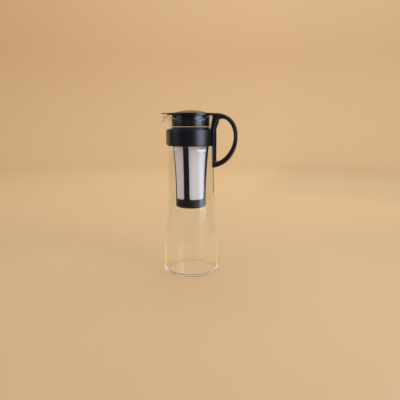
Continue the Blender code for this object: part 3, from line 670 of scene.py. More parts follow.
def combined(mesh, steps):
    """Add or take away bodies with exact booleans, and give the finished mesh."""
    base = placed("base", mesh)
    helpers = []
    for operation, other in steps:
        helpers.append(placed("helper", other))
        change = base.modifiers.new("change", "BOOLEAN")
        change.operation = operation
        change.solver = "EXACT"
        change.object = helpers[-1]
    graph = bpy.context.evaluated_depsgraph_get()
    result = bpy.data.meshes.new_from_object(base.evaluated_get(graph), depsgraph=graph)
    for item in (base, *helpers):
        bpy.data.objects.remove(item)
    return result


def hook_block(margin, height):
    """The clasp's hook, or with a margin the groove that it catches in."""
    turn = math.pi + math.asin(HOOK_OFFSET / BAND_RADIUS)
    aside, rise = HOOK_WIDTH / 2, height / 2
    low = (BAND_RADIUS - HOOK_DEPTH - margin, -aside - margin, BAND_MIDDLE - rise - margin)
    high = (BAND_RADIUS + CLASP_STANDOFF + CLASP_PLATE / 2, aside + margin,
            BAND_MIDDLE + rise + margin)
    return solid_block(low, high, turn)


def key_block(margin, reach):
    """The handle's key, or with a margin the pocket that it sits in."""
    half = KEY_SIZE / 2
    low = (BAND_RADIUS - KEY_DEPTH - margin, -half - margin, BAND_MIDDLE - half - margin)
    return solid_block(low, (reach, half + margin, BAND_MIDDLE + half + margin))


def make_band():
    """Carry the band's section from one lip of the slit to the other."""
    heights = np.linspace(BAND_LOW, BAND_HIGH, 25)
    grip = np.maximum(neck_outer_radius(heights), neck_outer_radius(heights, 0.0)) + CLEARANCE
    centre = BAND_RADIUS - BAND_ROUNDING
    foot_edge = arc((centre, BAND_LOW + BAND_ROUNDING), BAND_ROUNDING, 0, -math.pi / 2, 6)[::-1]
    top_edge = arc((centre, BAND_HIGH - BAND_ROUNDING), BAND_ROUNDING, math.pi / 2, 0, 6)[::-1]
    outside = np.vstack((foot_edge, top_edge))
    rise = np.linspace(outside[0], outside[-1], 25)[:, 1]
    wall = paired(np.interp(rise, outside[:, 1], outside[:, 0]), rise)
    wall = np.vstack((foot_edge, wall[3:-3], top_edge))
    inside = paired(np.interp(wall[:, 1], heights, grip), wall[:, 1])
    profile = np.vstack((inside, wall[::-1]))
    slit = BAND_SLIT / 2 / BAND_RADIUS
    angles = np.linspace(-math.pi + slit, math.pi - slit, 257)
    mesh = mesh_from_grids("neck_strap", [with_flat_ends(carried_round(profile, angles))])
    gap = KNUCKLE_HEIGHT / 2 + CLEARANCE
    steps = (("UNION", barrel(KNUCKLE_RADIUS, BAND_LOW + BAND_ROUNDING, BAND_HIGH - BAND_ROUNDING,
                              BAND_ROUNDING / 2)),
             ("DIFFERENCE", barrel(PIN_RADIUS + CLEARANCE, BAND_LOW - CLEARANCE,
                                   BAND_HIGH + CLEARANCE)),
             ("DIFFERENCE", barrel(KNUCKLE_RADIUS + CLEARANCE, BAND_MIDDLE - gap,
                                   BAND_MIDDLE + gap)),
             ("DIFFERENCE", hook_block(CLEARANCE, BAND_HIGH - BAND_LOW)),
             ("DIFFERENCE", key_block(CLEARANCE, BAND_RADIUS + KEY_DEPTH)))
    add_piece("neck_strap", combined(mesh, steps), SATIN_BLACK, "neck_band")


make_band()

# %% Clasp and pin
def make_clasp():
    """A curved plate with rounded edges, its hinge barrel, its arm and its hook."""
    inner = BAND_RADIUS + CLASP_STANDOFF
    outer = inner + CLASP_PLATE
    profile = filleted(rectangle(inner, outer, CLASP_LOW, CLASP_HIGH), CLASP_ROUNDING)
    free_side = math.pi - math.asin((PIN_AXIS.y - KNUCKLE_RADIUS - CLEARANCE) / outer)
    hook_side = math.pi + math.asin((HOOK_OFFSET + CLASP_LIP) / outer)
    angles = np.linspace(free_side, hook_side, 41)
    plate = mesh_from_grids("clasp_plate", [with_flat_ends(carried_round(profile, angles))])
    half = KNUCKLE_HEIGHT / 2
    low, high = BAND_MIDDLE - half, BAND_MIDDLE + half
    arm_profile = filleted(rectangle(inner, outer - CLASP_STANDOFF, low, high), CLASP_STANDOFF)
    pin_side = math.pi - math.asin(PIN_AXIS.y / math.hypot(PIN_AXIS.x, PIN_AXIS.y))
    arm_angles = np.linspace(pin_side, free_side + CLASP_PLATE / outer, 9)
    arm = mesh_from_grids("arm", [with_flat_ends(carried_round(arm_profile, arm_angles))])
    steps = (("UNION", arm), ("UNION", barrel(KNUCKLE_RADIUS, low, high, CLASP_STANDOFF)),
             ("UNION", hook_block(0, KNUCKLE_HEIGHT)),
             ("DIFFERENCE", barrel(PIN_RADIUS + CLEARANCE, low - CLEARANCE, high + CLEARANCE)))
    add_piece("clasp_plate", combined(plate, steps), SATIN_BLACK, "band_clasp")


STEEL_TINT = (0.58, 0.58, 0.60, 1.0)
STEEL_ROUGHNESS = (0.22, 0.40)
LINE_SCALE = 3000.0
LINE_STRETCH = (1.0, 1.0, 0.02)
LINE_EDGE = (0.3, 0.7)
LINE_DEPTH = 0.00001
LINE_STRENGTH = 0.3


def make_steel():
    """Drawn steel wire: fine lines along its length change the roughness."""
    material, tree, shader = new_material("pin_steel")
    lines = noise(tree, LINE_SCALE, 2.0, LINE_STRETCH)
    dress(tree, shader, Base_Color=STEEL_TINT, Metallic=1.0,
          Roughness=spread(tree, lines, *LINE_EDGE, *STEEL_ROUGHNESS),
          Normal=bumped(tree, lines, LINE_DEPTH, LINE_STRENGTH))
    return material


def make_pin():
    """A plain pin with domed ends."""
    low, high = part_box("clasp_pin")[0].z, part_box("clasp_pin")[1].z
    mesh = barrel(PIN_RADIUS, low, high, PIN_RADIUS / 2)
    add_piece("hinge_pin", mesh, make_steel(), "clasp_pin")


make_clasp()
make_pin()

# %% [markdown]
# ## Handle
#
# The handle is one loop: a flat back plate against the band and a slim grip that swings out
# and back.  It could be a curve with a bevel, but its section changes all the way round.  So
# its outer and inner outlines are drawn as Bezier curves and lines, and a rounded section is
# stretched between each pair of matching points.

# %% Handle sizes
SLIP = 0.0005
HANDLE_SEAT = max(BAND_RADIUS, SHOULDER_RADIUS) + SLIP
HANDLE_REACH = 0.0421
HANDLE_LOW, HANDLE_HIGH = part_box("handle")[0].z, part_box("handle")[1].z
GRIP_Z = WAIST_Z + 0.004
GRIP_THICKNESS = 0.0051
TOP_THICKNESS = 0.0105
FOOT_THICKNESS = 0.011
SPINE_THICKNESS = 0.003
SPINE_LEAN = 0.0045
TOP_BEND = 0.006
GRIP_WIDTH = 0.0155
SPINE_WIDTH = 0.021
CORNER_POWER = 0.42
LID_RADIUS = 0.0430
OUTER_UPPER_SHARES = np.array(((0.171, 1.0), (0.60, 0.96), (1.0, 0.68), (1.0, 0.0)))
OUTER_LOWER_SHARES = np.array(((1.0, 0.0), (1.0, -0.48), (0.69, -0.885), (0.077, -1.0)))
INNER_UPPER_SHARES = np.array(((0.501, 1.0), (0.761, 0.955), (1.0, 0.485), (1.0, 0.0)))
INNER_LOWER_SHARES = np.array(((1.0, 0.0), (1.0, -0.428), (0.605, -0.901), (0.180, -1.0)))
print("handle from", round(HANDLE_LOW, 4), "to", round(HANDLE_HIGH, 4), "m")

# %% Handle
def loop_quarter(shares, reach, above, below, steps):
    """One quarter of an outline: control points are shares of the reach and of the rise."""
    rise = np.where(shares[:, 1] > 0, above, below)
    controls = paired(HANDLE_SEAT + shares[:, 0] * reach, GRIP_Z + shares[:, 1] * rise)
    return bezier(controls, np.linspace(0, 1, steps + 1))


def back_line():
    """The back plate's (radius, height) line: on the body, on the band, over it, up the neck."""
    hook = BAND_HIGH + CLEARANCE
    low = np.linspace(HANDLE_LOW, BAND_LOW, 24)
    body = paired(np.maximum(neck_outer_radius(low) + SLIP, HANDLE_SEAT), low)
    over = np.linspace((HANDLE_SEAT, hook), (neck_outer_radius(hook) + SLIP, hook), 5)
    up = np.linspace(hook, CREST_Z, 14)[1:]
    neck = paired(neck_outer_radius(up) + SLIP, up)
    lid = np.linspace((LID_RADIUS + SLIP, CREST_Z + CLEARANCE), (LID_RADIUS + SLIP, HANDLE_HIGH), 4)
    return np.vstack((body, over, neck, lid))


def handle_outlines():
    """Matching points: heights and radii of the outer outline, and (x, z) of the inner one."""
    back = back_line()
    above, below = HANDLE_HIGH - GRIP_Z, GRIP_Z - HANDLE_LOW
    upper = loop_quarter(OUTER_UPPER_SHARES, HANDLE_REACH, above, below, 48)
    lower = loop_quarter(OUTER_LOWER_SHARES, HANDLE_REACH, above, below, 56)
    top, foot = HANDLE_HIGH - TOP_THICKNESS, HANDLE_LOW + FOOT_THICKNESS
    reach = HANDLE_REACH - GRIP_THICKNESS
    inner_upper = loop_quarter(INNER_UPPER_SHARES, reach, top - GRIP_Z, GRIP_Z - foot, 48)
    inner_lower = loop_quarter(INNER_LOWER_SHARES, reach, top - GRIP_Z, GRIP_Z - foot, 56)
    corner = SPINE_THICKNESS
    spine = HANDLE_SEAT + SPINE_THICKNESS
    share = (back[:, 1] - HANDLE_LOW) / (HANDLE_HIGH - HANDLE_LOW)
    heights = foot + corner + share * (top - foot - corner - TOP_BEND)
    lean = np.clip((heights - BAND_HIGH) / (top - TOP_BEND - BAND_HIGH), 0, 1)
    plate = paired(spine + SPINE_LEAN * lean, heights)
    bend_centre = (spine + SPINE_LEAN + TOP_BEND, top - TOP_BEND)
    top_corner = arc(bend_centre, TOP_BEND, math.pi, math.pi / 2, 8)
    foot_corner = arc((spine + corner, foot + corner), corner, -math.pi / 2, -math.pi, 8)
    level = np.linspace(0, 1, 10)[1:-1]
    top_row = paired(level, np.full(8, HANDLE_HIGH))
    foot_row = paired(level[::-1], np.full(8, HANDLE_LOW))
    inner = np.vstack((plate, top_corner[1:], inner_upper, inner_lower[1:], foot_corner[:-1]))
    return back, upper, lower, top_row, foot_row, inner


def half_width(x):
    """Half the handle's width: wide at the plate, narrower at the grip, blended between."""
    share = half_cosine((x - HANDLE_SEAT - SPINE_THICKNESS) / (HANDLE_REACH - GRIP_THICKNESS))
    return (GRIP_WIDTH + (SPINE_WIDTH - GRIP_WIDTH) * share ** 3) / 2


def make_handle():
    """Stretch a rounded section between the outlines.

    Round the section, the share across runs as (1 + c|c|^(p-1)) / 2 and the width as
    w s|s|^(p-1), with c and s the cosine and sine of the turn: a superellipse.
    """
    back, upper, lower, top_row, foot_row, inner = handle_outlines()
    count = len(back)
    turn = full_turn(48)[None, :]
    across, aside = (np.sign(wave) * np.abs(wave) ** CORNER_POWER
                     for wave in (np.cos(turn), np.sin(turn)))
    across = (1 + across) / 2
    wide = aside * half_width(inner[:, :1])
    back_x = np.sqrt(back[:, :1] ** 2 - wide[:count] ** 2)
    top_x = np.sqrt(back[-1, 0] ** 2 - wide[count:count + 8] ** 2)
    top_x = top_x + (upper[0, 0] - top_x) * top_row[:, :1]
    foot_x = np.sqrt(back[0, 0] ** 2 - wide[-8:] ** 2)
    foot_x = foot_x + (lower[-1, 0] - foot_x) * foot_row[:, :1]
    ones = np.ones_like(turn)
    outer_x = np.vstack((back_x, top_x, upper[:, :1] * ones, lower[1:, :1] * ones, foot_x))
    outer_z = np.concatenate((back[:, 1], top_row[:, 1], upper[:, 1], lower[1:, 1], foot_row[:, 1]))
    x = inner[:, :1] + (outer_x - inner[:, :1]) * across
    z = inner[:, 1:] + (outer_z[:, None] - inner[:, 1:]) * across
    points = np.stack((x, wide, z), axis=-1)
    mesh = mesh_from_grids("loop_handle", [(points, True, True)])
    mesh = combined(mesh, (("UNION", key_block(0, HANDLE_SEAT + KEY_DEPTH / 2)),))
    add_piece("loop_handle", mesh, SATIN_BLACK, "handle")


make_handle()

# %% [markdown]
# ## Lid
#
# The lid is a shallow dome with a thin beak that covers the spout, and a hollow plug under it.
# The dome is turned, and the beak is only the upper edge reaching out in one direction, so
# every direction has its own section again.

# %% Lid
LID_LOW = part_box("lid_plug")[1].z + CLEARANCE
LID_EDGE_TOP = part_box("handle")[1].z
LID_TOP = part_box("lid_cover")[1].z
DOME_RADIUS = 0.032
LID_SKIN = 0.0020
LID_ROUNDING = 0.0004
BEAK_REACH = 0.0120
BEAK_THICKNESS = 0.0017
BEAK_HALF = math.radians(11.0)
PLUG_DROP = 0.0015
PLUG_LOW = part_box("lid_plug")[0].z - PLUG_DROP
PLUG_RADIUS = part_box("lid_plug")[1].x
PLUG_WALL = 0.0020
PLUG_ROUNDING = 0.0006
SPIGOT_WALL = 0.0016
SPIGOT_DEPTH = 0.0030


def lid_sections(turns):
    """One closed section for each direction from the beak: dome, edge, underside, ring."""
    reach = BEAK_REACH * np.exp(-(turns / BEAK_HALF) ** 4)
    edge = LID_RADIUS + reach
    count = len(turns)
    dome_share = np.linspace(1, 0, 33)
    rise = LID_TOP - LID_EDGE_TOP
    dome = paired(DOME_RADIUS * dome_share, LID_EDGE_TOP + rise * (1 - dome_share ** 2))
    spigot = PLUG_RADIUS - PLUG_WALL - CLEARANCE
    spigot_inner = spigot - SPIGOT_WALL
    under_share = np.linspace(0, spigot_inner / DOME_RADIUS, 17)
    under = paired(DOME_RADIUS * under_share,
                   LID_EDGE_TOP - LID_SKIN + rise * (1 - under_share ** 2))
    ring_low = LID_LOW - SPIGOT_DEPTH
    ring = np.array(((spigot_inner, ring_low), (spigot, ring_low), (spigot, LID_LOW)))
    rounding = LID_ROUNDING
    low_edge = arc((LID_RADIUS - rounding, LID_LOW + rounding), rounding, -math.pi / 2, 0, 5)
    fixed = np.vstack((under, ring, low_edge))
    beak_low = LID_EDGE_TOP - BEAK_THICKNESS
    quarter = np.linspace(-math.pi / 2, 0, 6)

    def lip(centre_height, turn):
        """A quarter of the rounded edge, at the beak's reach."""
        radius = edge[:, None] - rounding + rounding * np.cos(turn)
        return paired(radius, repeated(centre_height + rounding * np.sin(turn), count))

    crease = repeated(((LID_RADIUS, beak_low),), count)
    return np.concatenate((repeated(fixed, count), crease, lip(beak_low + rounding, quarter),
                           lip(LID_EDGE_TOP - rounding, quarter + math.pi / 2),
                           repeated(dome, count)), axis=1)


def make_lid():
    """The dome with its beak, and the plug under it."""
    near = np.linspace(-2 * BEAK_HALF, 2 * BEAK_HALF, 65)
    rest = np.linspace(2 * BEAK_HALF, 2 * math.pi - 2 * BEAK_HALF, 200)[1:-1]
    turns = np.concatenate((near, rest))
    wrapped = (turns + math.pi) % (2 * math.pi) - math.pi
    points = carried_round(lid_sections(wrapped), turns + math.pi)
    mesh = mesh_from_grids("lid_dome", [(points, True, True)])
    add_piece("lid_dome", mesh, LID_BLACK, "lid_cover")
    inner = PLUG_RADIUS - PLUG_WALL
    top = LID_LOW - CLEARANCE
    profile = filleted(((inner, PLUG_LOW), (inner, top), (PLUG_RADIUS, top),
                        (PLUG_RADIUS, PLUG_LOW)),
                       (PLUG_ROUNDING, FINE_ROUNDING, FINE_ROUNDING, PLUG_ROUNDING))
    mesh = mesh_from_grids("lid_plug_ring", [turned(profile, 256)])
    add_piece("lid_plug_ring", mesh, LID_BLACK, "lid_plug")


make_lid()

# %% [markdown]
# ## Strainer
#
# The strainer hangs in the neck by a bead.  Its frame is one moulding: a collar, four ribs
# and a ring, with tall windows between the ribs.  Cutting the windows out of a turned tube
# leaves ragged shading at their edges.  Here the wall between the ribs is a frame-shaped
# grid instead: its inner edge is the window's rounded outline and its outer edge is the
# panel's border, so the faces run along the window.

# %% Strainer sizes
FRAME_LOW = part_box("strainer_frame")[0].z
COLLAR_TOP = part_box("strainer_frame")[1].z
FOOT_RADIUS = 0.02775
THROAT_RADIUS = WAIST_RADIUS - GLASS_WALL - 0.0005
COLLAR_RADIUS = THROAT_RADIUS + 0.0004
BEAD_RADIUS = WAIST_RADIUS - GLASS_WALL + 0.0013
FRAME_WALL = 0.0018
BEAD_HEIGHT = 0.0016
RING_HEIGHT = 0.0047
WINDOW_LOW = FRAME_LOW + RING_HEIGHT
WINDOW_HIGH = BAND_LOW + 0.0015
WINDOW_ROUNDING = 0.004
RIB_WIDTH = 0.0102
EDGE_ROUNDING = 0.0004
TAPER_TOP = BAND_LOW + 0.0055
TAPER_POWER = 2.1
BORDER_POWER = 1.5
PANEL_LOW = WINDOW_LOW - 0.0010
PANEL_HIGH = WINDOW_HIGH + 0.0030
LUG_DEPTH = 0.0009
LUG_HEIGHT = 0.0014
LUG_WIDTH = 0.006
LIP_HEIGHT = 0.0013
MESH_THICKNESS = 0.0005
MESH_OVERLAP = 0.004
print("windows from", round(WINDOW_LOW, 4), "to", round(WINDOW_HIGH, 4), "m")

# %% Strainer frame
def strainer_radius(height):
    """Outer radius of the frame: a narrow foot that widens faster and faster upwards."""
    share = np.clip((height - FRAME_LOW) / (TAPER_TOP - FRAME_LOW), 0, 1)
    return FOOT_RADIUS + (THROAT_RADIUS - FOOT_RADIUS) * share ** TAPER_POWER


def seat_height(radius):
    """Height in the flare where a round piece of this radius just fits."""
    _, inner, _ = wall_sides(neck_lines(np.array((math.pi,))))
    return float(np.interp(radius + CLEARANCE, inner[0, :, 0], inner[0, :, 1]))


def window_and_border(count_top, count_side, count_corner):
    """Paired outlines of the window and of the panel, counter-clockwise from the low right corner.

    Each point is (angle from the panel's middle, height).
    """
    quarter = math.pi / 4
    turn = np.linspace(0, math.pi / 2, count_corner + 1)
    rise = np.linspace(0, 1, count_corner // 2 + 1)[1:, None]
    across = np.linspace(1, -1, count_top + 1)[1:-1]
    mirror = np.array((-1, 1))

    def window_points(height, off):
        """Points of the window's right side, some way in from the rib."""
        radius = strainer_radius(height)
        return paired(quarter - np.arcsin(RIB_WIDTH / 2 / radius) - off / radius, height)

    def end_lines(window_end, panel_end, way):
        """Corner, level side and both borders at one end; the way is 1 above and -1 below."""
        height = window_end - way * WINDOW_ROUNDING * (1 - np.sin(turn))
        corner = window_points(height, WINDOW_ROUNDING * (1 - np.cos(turn)))
        level = way * across * corner[-1, 0]
        first = np.array((quarter, window_end - way * WINDOW_ROUNDING))
        peak = np.array((quarter, panel_end))
        last = np.array((corner[-1, 0], panel_end))
        border = np.vstack((first + (peak - first) * rise, peak + (last - peak) * rise))
        window_level, panel_level = (paired(level, np.full(count_top - 1, height))
                                     for height in (window_end, panel_end))
        return corner, window_level, border, panel_level

    side = np.linspace(WINDOW_LOW + WINDOW_ROUNDING, WINDOW_HIGH - WINDOW_ROUNDING, count_side + 1)
    right = window_points(side, 0)
    side_border = paired(np.full(count_side + 1, quarter), side)
    high_corner, top, high_border, top_border = end_lines(WINDOW_HIGH, PANEL_HIGH, 1)
    low_corner, foot, low_border, foot_border = end_lines(WINDOW_LOW, PANEL_LOW, -1)
    window = np.vstack((right, high_corner[1:], top, (high_corner * mirror)[::-1],
                        (right * mirror)[::-1][1:], (low_corner * mirror)[1:], foot,
                        low_corner[::-1][:-1]))
    border = np.vstack((side_border, high_border, top_border, (high_border * mirror)[::-1],
                        (side_border * mirror)[::-1], low_border * mirror, foot_border,
                        low_border[::-1]))
    return window, border


def frame_panels():
    """Four panels, each carried from its outer border over the window's edge to the inside."""
    window, border = window_and_border(20, 48, 12)
    away = np.linspace(1, 0, 7)[:-1, None, None] ** BORDER_POWER
    turn = np.linspace(0, math.pi / 2, 5)
    inset = EDGE_ROUNDING * (1 - np.sin(turn))
    depth = EDGE_ROUNDING * (1 - np.cos(turn))
    length = np.linalg.norm((border - window) * np.array((FOOT_RADIUS, 1)), axis=1, keepdims=True)
    edge = window + (border - window) * (inset[:, None, None] / length)
    start = window + (border - window) * (EDGE_ROUNDING / length)
    flat = start + (border - start) * away
    outer = np.concatenate((flat, edge))
    depths = np.concatenate((np.zeros(len(away)), depth))
    both = np.concatenate((outer, outer[::-1]))
    depths = np.concatenate((depths, FRAME_WALL - depths[::-1]))
    angle, height = both[..., 0], both[..., 1]
    radius = strainer_radius(height) - depths[:, None]
    grids = []
    for quarter in range(4):
        place = angle + math.pi / 4 + quarter * math.pi / 2
        points = np.stack((radius * np.cos(place), radius * np.sin(place), height), axis=-1)
        grids.append((points, False, True))
    return grids, border


def matching_angles(border, height):
    """Directions of the border's points at one height, once round, in order."""
    found = border[np.abs(border[:, 1] - height) < MERGE_DISTANCE, 0]
    found = np.unique(np.round(found, 7))[:-1]
    quarters = np.arange(4)[:, None] * math.pi / 2 + math.pi / 4
    return (quarters + found).ravel()


def make_strainer_frame():
    """Collar and bead above the panels, ring with the lugs' groove below them."""
    grids, border = frame_panels()
    bead_low = seat_height(BEAD_RADIUS)
    heights = np.linspace(PANEL_HIGH, bead_low - BEAD_HEIGHT, 9)
    outside = paired(strainer_radius(heights), heights)
    bead = np.array(((BEAD_RADIUS, bead_low), (BEAD_RADIUS, bead_low + BEAD_HEIGHT),
                     (COLLAR_RADIUS, bead_low + 2 * BEAD_HEIGHT)))
    lip = arc((COLLAR_RADIUS - EDGE_ROUNDING, COLLAR_TOP - EDGE_ROUNDING), EDGE_ROUNDING,
              0, math.pi / 2, 5)
    bore_heights = np.linspace(COLLAR_TOP, PANEL_HIGH, 13)
    bore = paired(strainer_radius(bore_heights) - FRAME_WALL, bore_heights)
    collar = np.vstack((outside, bead, lip, bore))
    grids.append((carried_round(collar, matching_angles(border, PANEL_HIGH)), True, False))
    lip_top = FRAME_LOW + LIP_HEIGHT
    groove_top = lip_top + LUG_HEIGHT + 2 * CLEARANCE
    bore_radius = FOOT_RADIUS - FRAME_WALL
    low_heights = np.linspace(PANEL_LOW, FRAME_LOW + EDGE_ROUNDING, 5)
    ring_outside = paired(strainer_radius(low_heights), low_heights)
    foot = arc((FOOT_RADIUS - EDGE_ROUNDING, FRAME_LOW + EDGE_ROUNDING), EDGE_ROUNDING,
               0, -math.pi / 2, 5)
    inside = np.array(((bore_radius, FRAME_LOW), (bore_radius, lip_top),
                       (bore_radius + LUG_DEPTH, lip_top), (bore_radius + LUG_DEPTH, groove_top),
                       (bore_radius, groove_top),
                       (strainer_radius(PANEL_LOW) - FRAME_WALL, PANEL_LOW)))
    ring = np.vstack((ring_outside, foot[1:], inside))
    grids.append((carried_round(ring, matching_angles(border, PANEL_LOW)), True, False))
    mesh = mesh_from_grids("strainer_cage", grids)
    add_piece("strainer_cage", mesh, SATIN_BLACK, "strainer_frame")


make_strainer_frame()

# %% [markdown]
# ## Woven sleeve
#
# Behind the ribs the strainer is lined with a fine white mesh.  Its threads are thinner than
# a hair, so modelling them one by one would take millions of faces.  The sleeve is a thin
# turned wall instead, and its weave is a pattern on the sleeve's own map, measured in metres:
# crossing threads that pass over and under each other, with small holes that let light by.

# %% Weave group
THREAD_PITCH = 0.0004
THREAD_HEIGHT = 0.8
THREAD_LIFT = 0.2
THREAD_EDGE = (0.35, 0.6)
THREAD_TINT = (0.80, 0.83, 0.94, 1.0)
HOLE_TINT = (0.32, 0.31, 0.35, 1.0)
HOLE_ALPHA = 0.45
THREAD_ROUGHNESS = 0.62
WEAVE_DEPTH = 0.00008
WEAVE_STRENGTH = 0.5


def make_weave_group():
    """Height of the threads and a mask that is 1 on them and 0 in the holes."""
    inputs = (("Pitch", THREAD_PITCH),)
    group, given, result = new_group("woven_mesh", inputs, ("Height", "Threads"))
    axes = new_node(group, "SeparateXYZ", Vector=new_node(group, "UVMap")["UV"])
    waves = []
    for axis in "XY":
        count = math_step(group, "DIVIDE", axes[axis], given["Pitch"])
        waves.append(math_step(group, "SINE", times(group, count, math.pi)))
    lift = times(group, math_step(group, "SIGN", times(group, *waves)), THREAD_LIFT)
    warp, weft = (math_step(group, "ABSOLUTE", wave) for wave in waves)
    warp_height = times(group, warp, math_step(group, "ADD", THREAD_HEIGHT, lift))
    weft_height = times(group, weft, math_step(group, "SUBTRACT", THREAD_HEIGHT, lift))
    group.links.new(larger(group, warp_height, weft_height), result["Height"])
    group.links.new(spread(group, larger(group, warp, weft), *THREAD_EDGE), result["Threads"])
    return group


WEAVE = make_weave_group()


def make_mesh_material():
    """White polyester threads, greyer in the holes, which are half open."""
    material, tree, shader = new_material("white_mesh")
    weave = group_node(tree, WEAVE, Pitch=THREAD_PITCH)
    dress(tree, shader, Base_Color=mixed(tree, weave["Threads"], HOLE_TINT, THREAD_TINT),
          Alpha=spread(tree, weave["Threads"], 0.0, 1.0, HOLE_ALPHA, 1.0),
          Roughness=THREAD_ROUGHNESS,
          Normal=bumped(tree, weave["Height"], WEAVE_DEPTH, WEAVE_STRENGTH))
    return material


def make_sleeve():
    """A thin turned wall just inside the frame, with a map in metres round and up it."""
    low = FRAME_LOW + LIP_HEIGHT + LUG_HEIGHT + 3 * CLEARANCE
    high = WINDOW_HIGH + MESH_OVERLAP
    heights = np.linspace(low, high, 48)
    start = strainer_radius(heights) - FRAME_WALL - CLEARANCE
    start = np.where(heights < WINDOW_LOW, FOOT_RADIUS - FRAME_WALL - CLEARANCE, start)
    outside = paired(start, heights)
    inside = outside[::-1] - np.array((MESH_THICKNESS, 0))
    profile = np.vstack((outside, inside))
    mesh = mesh_from_grids("woven_sleeve", [turned(profile, 224)])
    place = np.zeros(len(mesh.vertices) * 3)
    mesh.vertices.foreach_get("co", place)
    place = place.reshape(-1, 3)
    corner = np.zeros(len(mesh.loops), dtype=np.int32)
    mesh.loops.foreach_get("vertex_index", corner)
    owner = np.repeat(np.arange(len(mesh.polygons)), 4)
    angle = np.arctan2(place[corner, 1], place[corner, 0])
    middle = angle.reshape(-1, 4).max(axis=1)[owner] - math.pi
    angle = np.where(angle < middle, angle + 2 * math.pi, angle)
    mapped = paired(angle * FOOT_RADIUS, place[corner, 2])
    mesh.uv_layers.new(name="sleeve").data.foreach_set("uv", mapped.astype(np.float32).ravel())
    add_piece("woven_sleeve", mesh, make_mesh_material(), "strainer_mesh")


make_sleeve()

# %% Strainer cap
CAP_FOOT_ROUNDING = 0.003
CAP_RIM_ROUNDING = 0.0003
CAP_FLOOR_ROUNDING = 0.001


def make_cap():
    """The cap that twists onto the foot of the strainer, with its three lugs."""
    low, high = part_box("strainer_cap")[0].z, FRAME_LOW - CLEARANCE
    spigot = FOOT_RADIUS - FRAME_WALL - CLEARANCE
    inner = spigot - FRAME_WALL
    lug_low = FRAME_LOW + LIP_HEIGHT + CLEARANCE
    lug_high = lug_low + LUG_HEIGHT
    corners = ((0, low), (FOOT_RADIUS, low), (FOOT_RADIUS, high), (spigot, high),
               (spigot, lug_high), (inner, lug_high), (inner, low + FRAME_WALL),
               (0, low + FRAME_WALL))
    profile = filleted(corners, (0, CAP_FOOT_ROUNDING, CAP_RIM_ROUNDING, 0, FINE_ROUNDING,
                                 FINE_ROUNDING, CAP_FLOOR_ROUNDING, 0), 8)
    grids = [turned(profile, 224)]
    reach = FOOT_RADIUS - FRAME_WALL + LUG_DEPTH - CLEARANCE
    lug = filleted(rectangle(spigot - FRAME_WALL / 2, reach, lug_low, lug_high), FINE_ROUNDING, 3)
    half = LUG_WIDTH / 2 / reach
    for k in range(3):
        angles = np.linspace(-half, half, 13) + k * 2 * math.pi / 3
        grids.append(with_flat_ends(carried_round(lug, angles)))
    mesh = mesh_from_grids("twist_cap", grids)
    add_piece("twist_cap", mesh, SATIN_BLACK, "strainer_cap")


make_cap()

# %% [markdown]
# ## Studio
#
# The pot stands on a plain warm tan sweep that rises all round like a shallow bowl, so there
# is no horizon from any side.  The room above it is the main light, even and soft.  Glass and
# black plastic show only what they reflect, so what lights the pot and what it mirrors are
# set apart: a tall soft box at the right and a fill at the left only light it, and a low
# window and a faint glow at the right are only mirrored.  A broad dim box at the left does
# both, and a wash lights the sweep behind.  A photographer also hangs black cloth round the
# front to keep the bright sweep out of the reflections.  Here that is a second bowl just
# inside the sweep, which only reflections see and which glows: a painted reflection of the
# tan sweep near the pot and behind it, dark in front and in a patch far out at the right
# behind.  Last, a contact shadow is painted on the paper: a thin darker ring under the heel,
# where hardly any light gets in.

# %% Sweep and cloth
FLOOR_RADIUS = 2.0
FLOOR_DROP = 0.0002
SWEEP_RADIUS = 0.8
WALL_TOP = 2.2
SWEEP_COLOUR = (0.66, 0.475, 0.270, 1.0)
MOTTLE = 0.97
MOTTLE_SCALE = 400.0
PAPER_ROUGHNESS = 0.8
NOWHERE = (0.0, 0.0, 0.0)
BLACK = (0.0, 0.0, 0.0, 1.0)
CLOTH_INSET = 0.01
CLOTH_DARK = (0.012, 0.014, 0.020, 1.0)
PAINTED_REFLECTION_TAN = (0.78, 0.52, 0.25, 1.0)
CLOTH_EDGE = (0.25, 0.8)
PATCH_SIDE = (0.20, 0.34)
PATCH_START = (0.85, 1.1)
NEAR_FLOOR = (0.30, 0.45)
PAINTED_SHADOW_RING = (0.044, 0.046, 0.0465, 0.049)
PAINTED_SHADOW_TINT = (0.42, 0.29, 0.15, 1.0)


def bowl_profile(inset):
    """A flat floor and a wall, joined by an arc: (radius, height) points."""
    foot = inset - FLOOR_DROP
    flat = paired(np.linspace(0, FLOOR_RADIUS, 12), np.full(12, foot))
    bend = arc((FLOOR_RADIUS, SWEEP_RADIUS - FLOOR_DROP), SWEEP_RADIUS - inset,
               -math.pi / 2, 0, 24)
    return np.vstack((flat, bend[1:], ((FLOOR_RADIUS + SWEEP_RADIUS - inset, WALL_TOP),)))


def stage_bowl(name, inset, material):
    """A staged bowl, open at the top and facing inwards."""
    points = carried_round(bowl_profile(inset), full_turn(128))
    mesh = mesh_from_grids(name, [(points, True, False)])
    mesh.flip_normals()
    mesh.shade_smooth()
    mesh.materials.append(material)
    bowl = placed(name, mesh)
    return bowl


def vector_step(tree, operation, first, second):
    """One Vector Math node."""
    node = tree.nodes.new("ShaderNodeVectorMath")
    node.operation = operation
    feed(tree, node.inputs[0], first)
    feed(tree, node.inputs[1], second)
    return node.outputs["Value" if operation in ("DOT_PRODUCT", "LENGTH") else "Vector"]


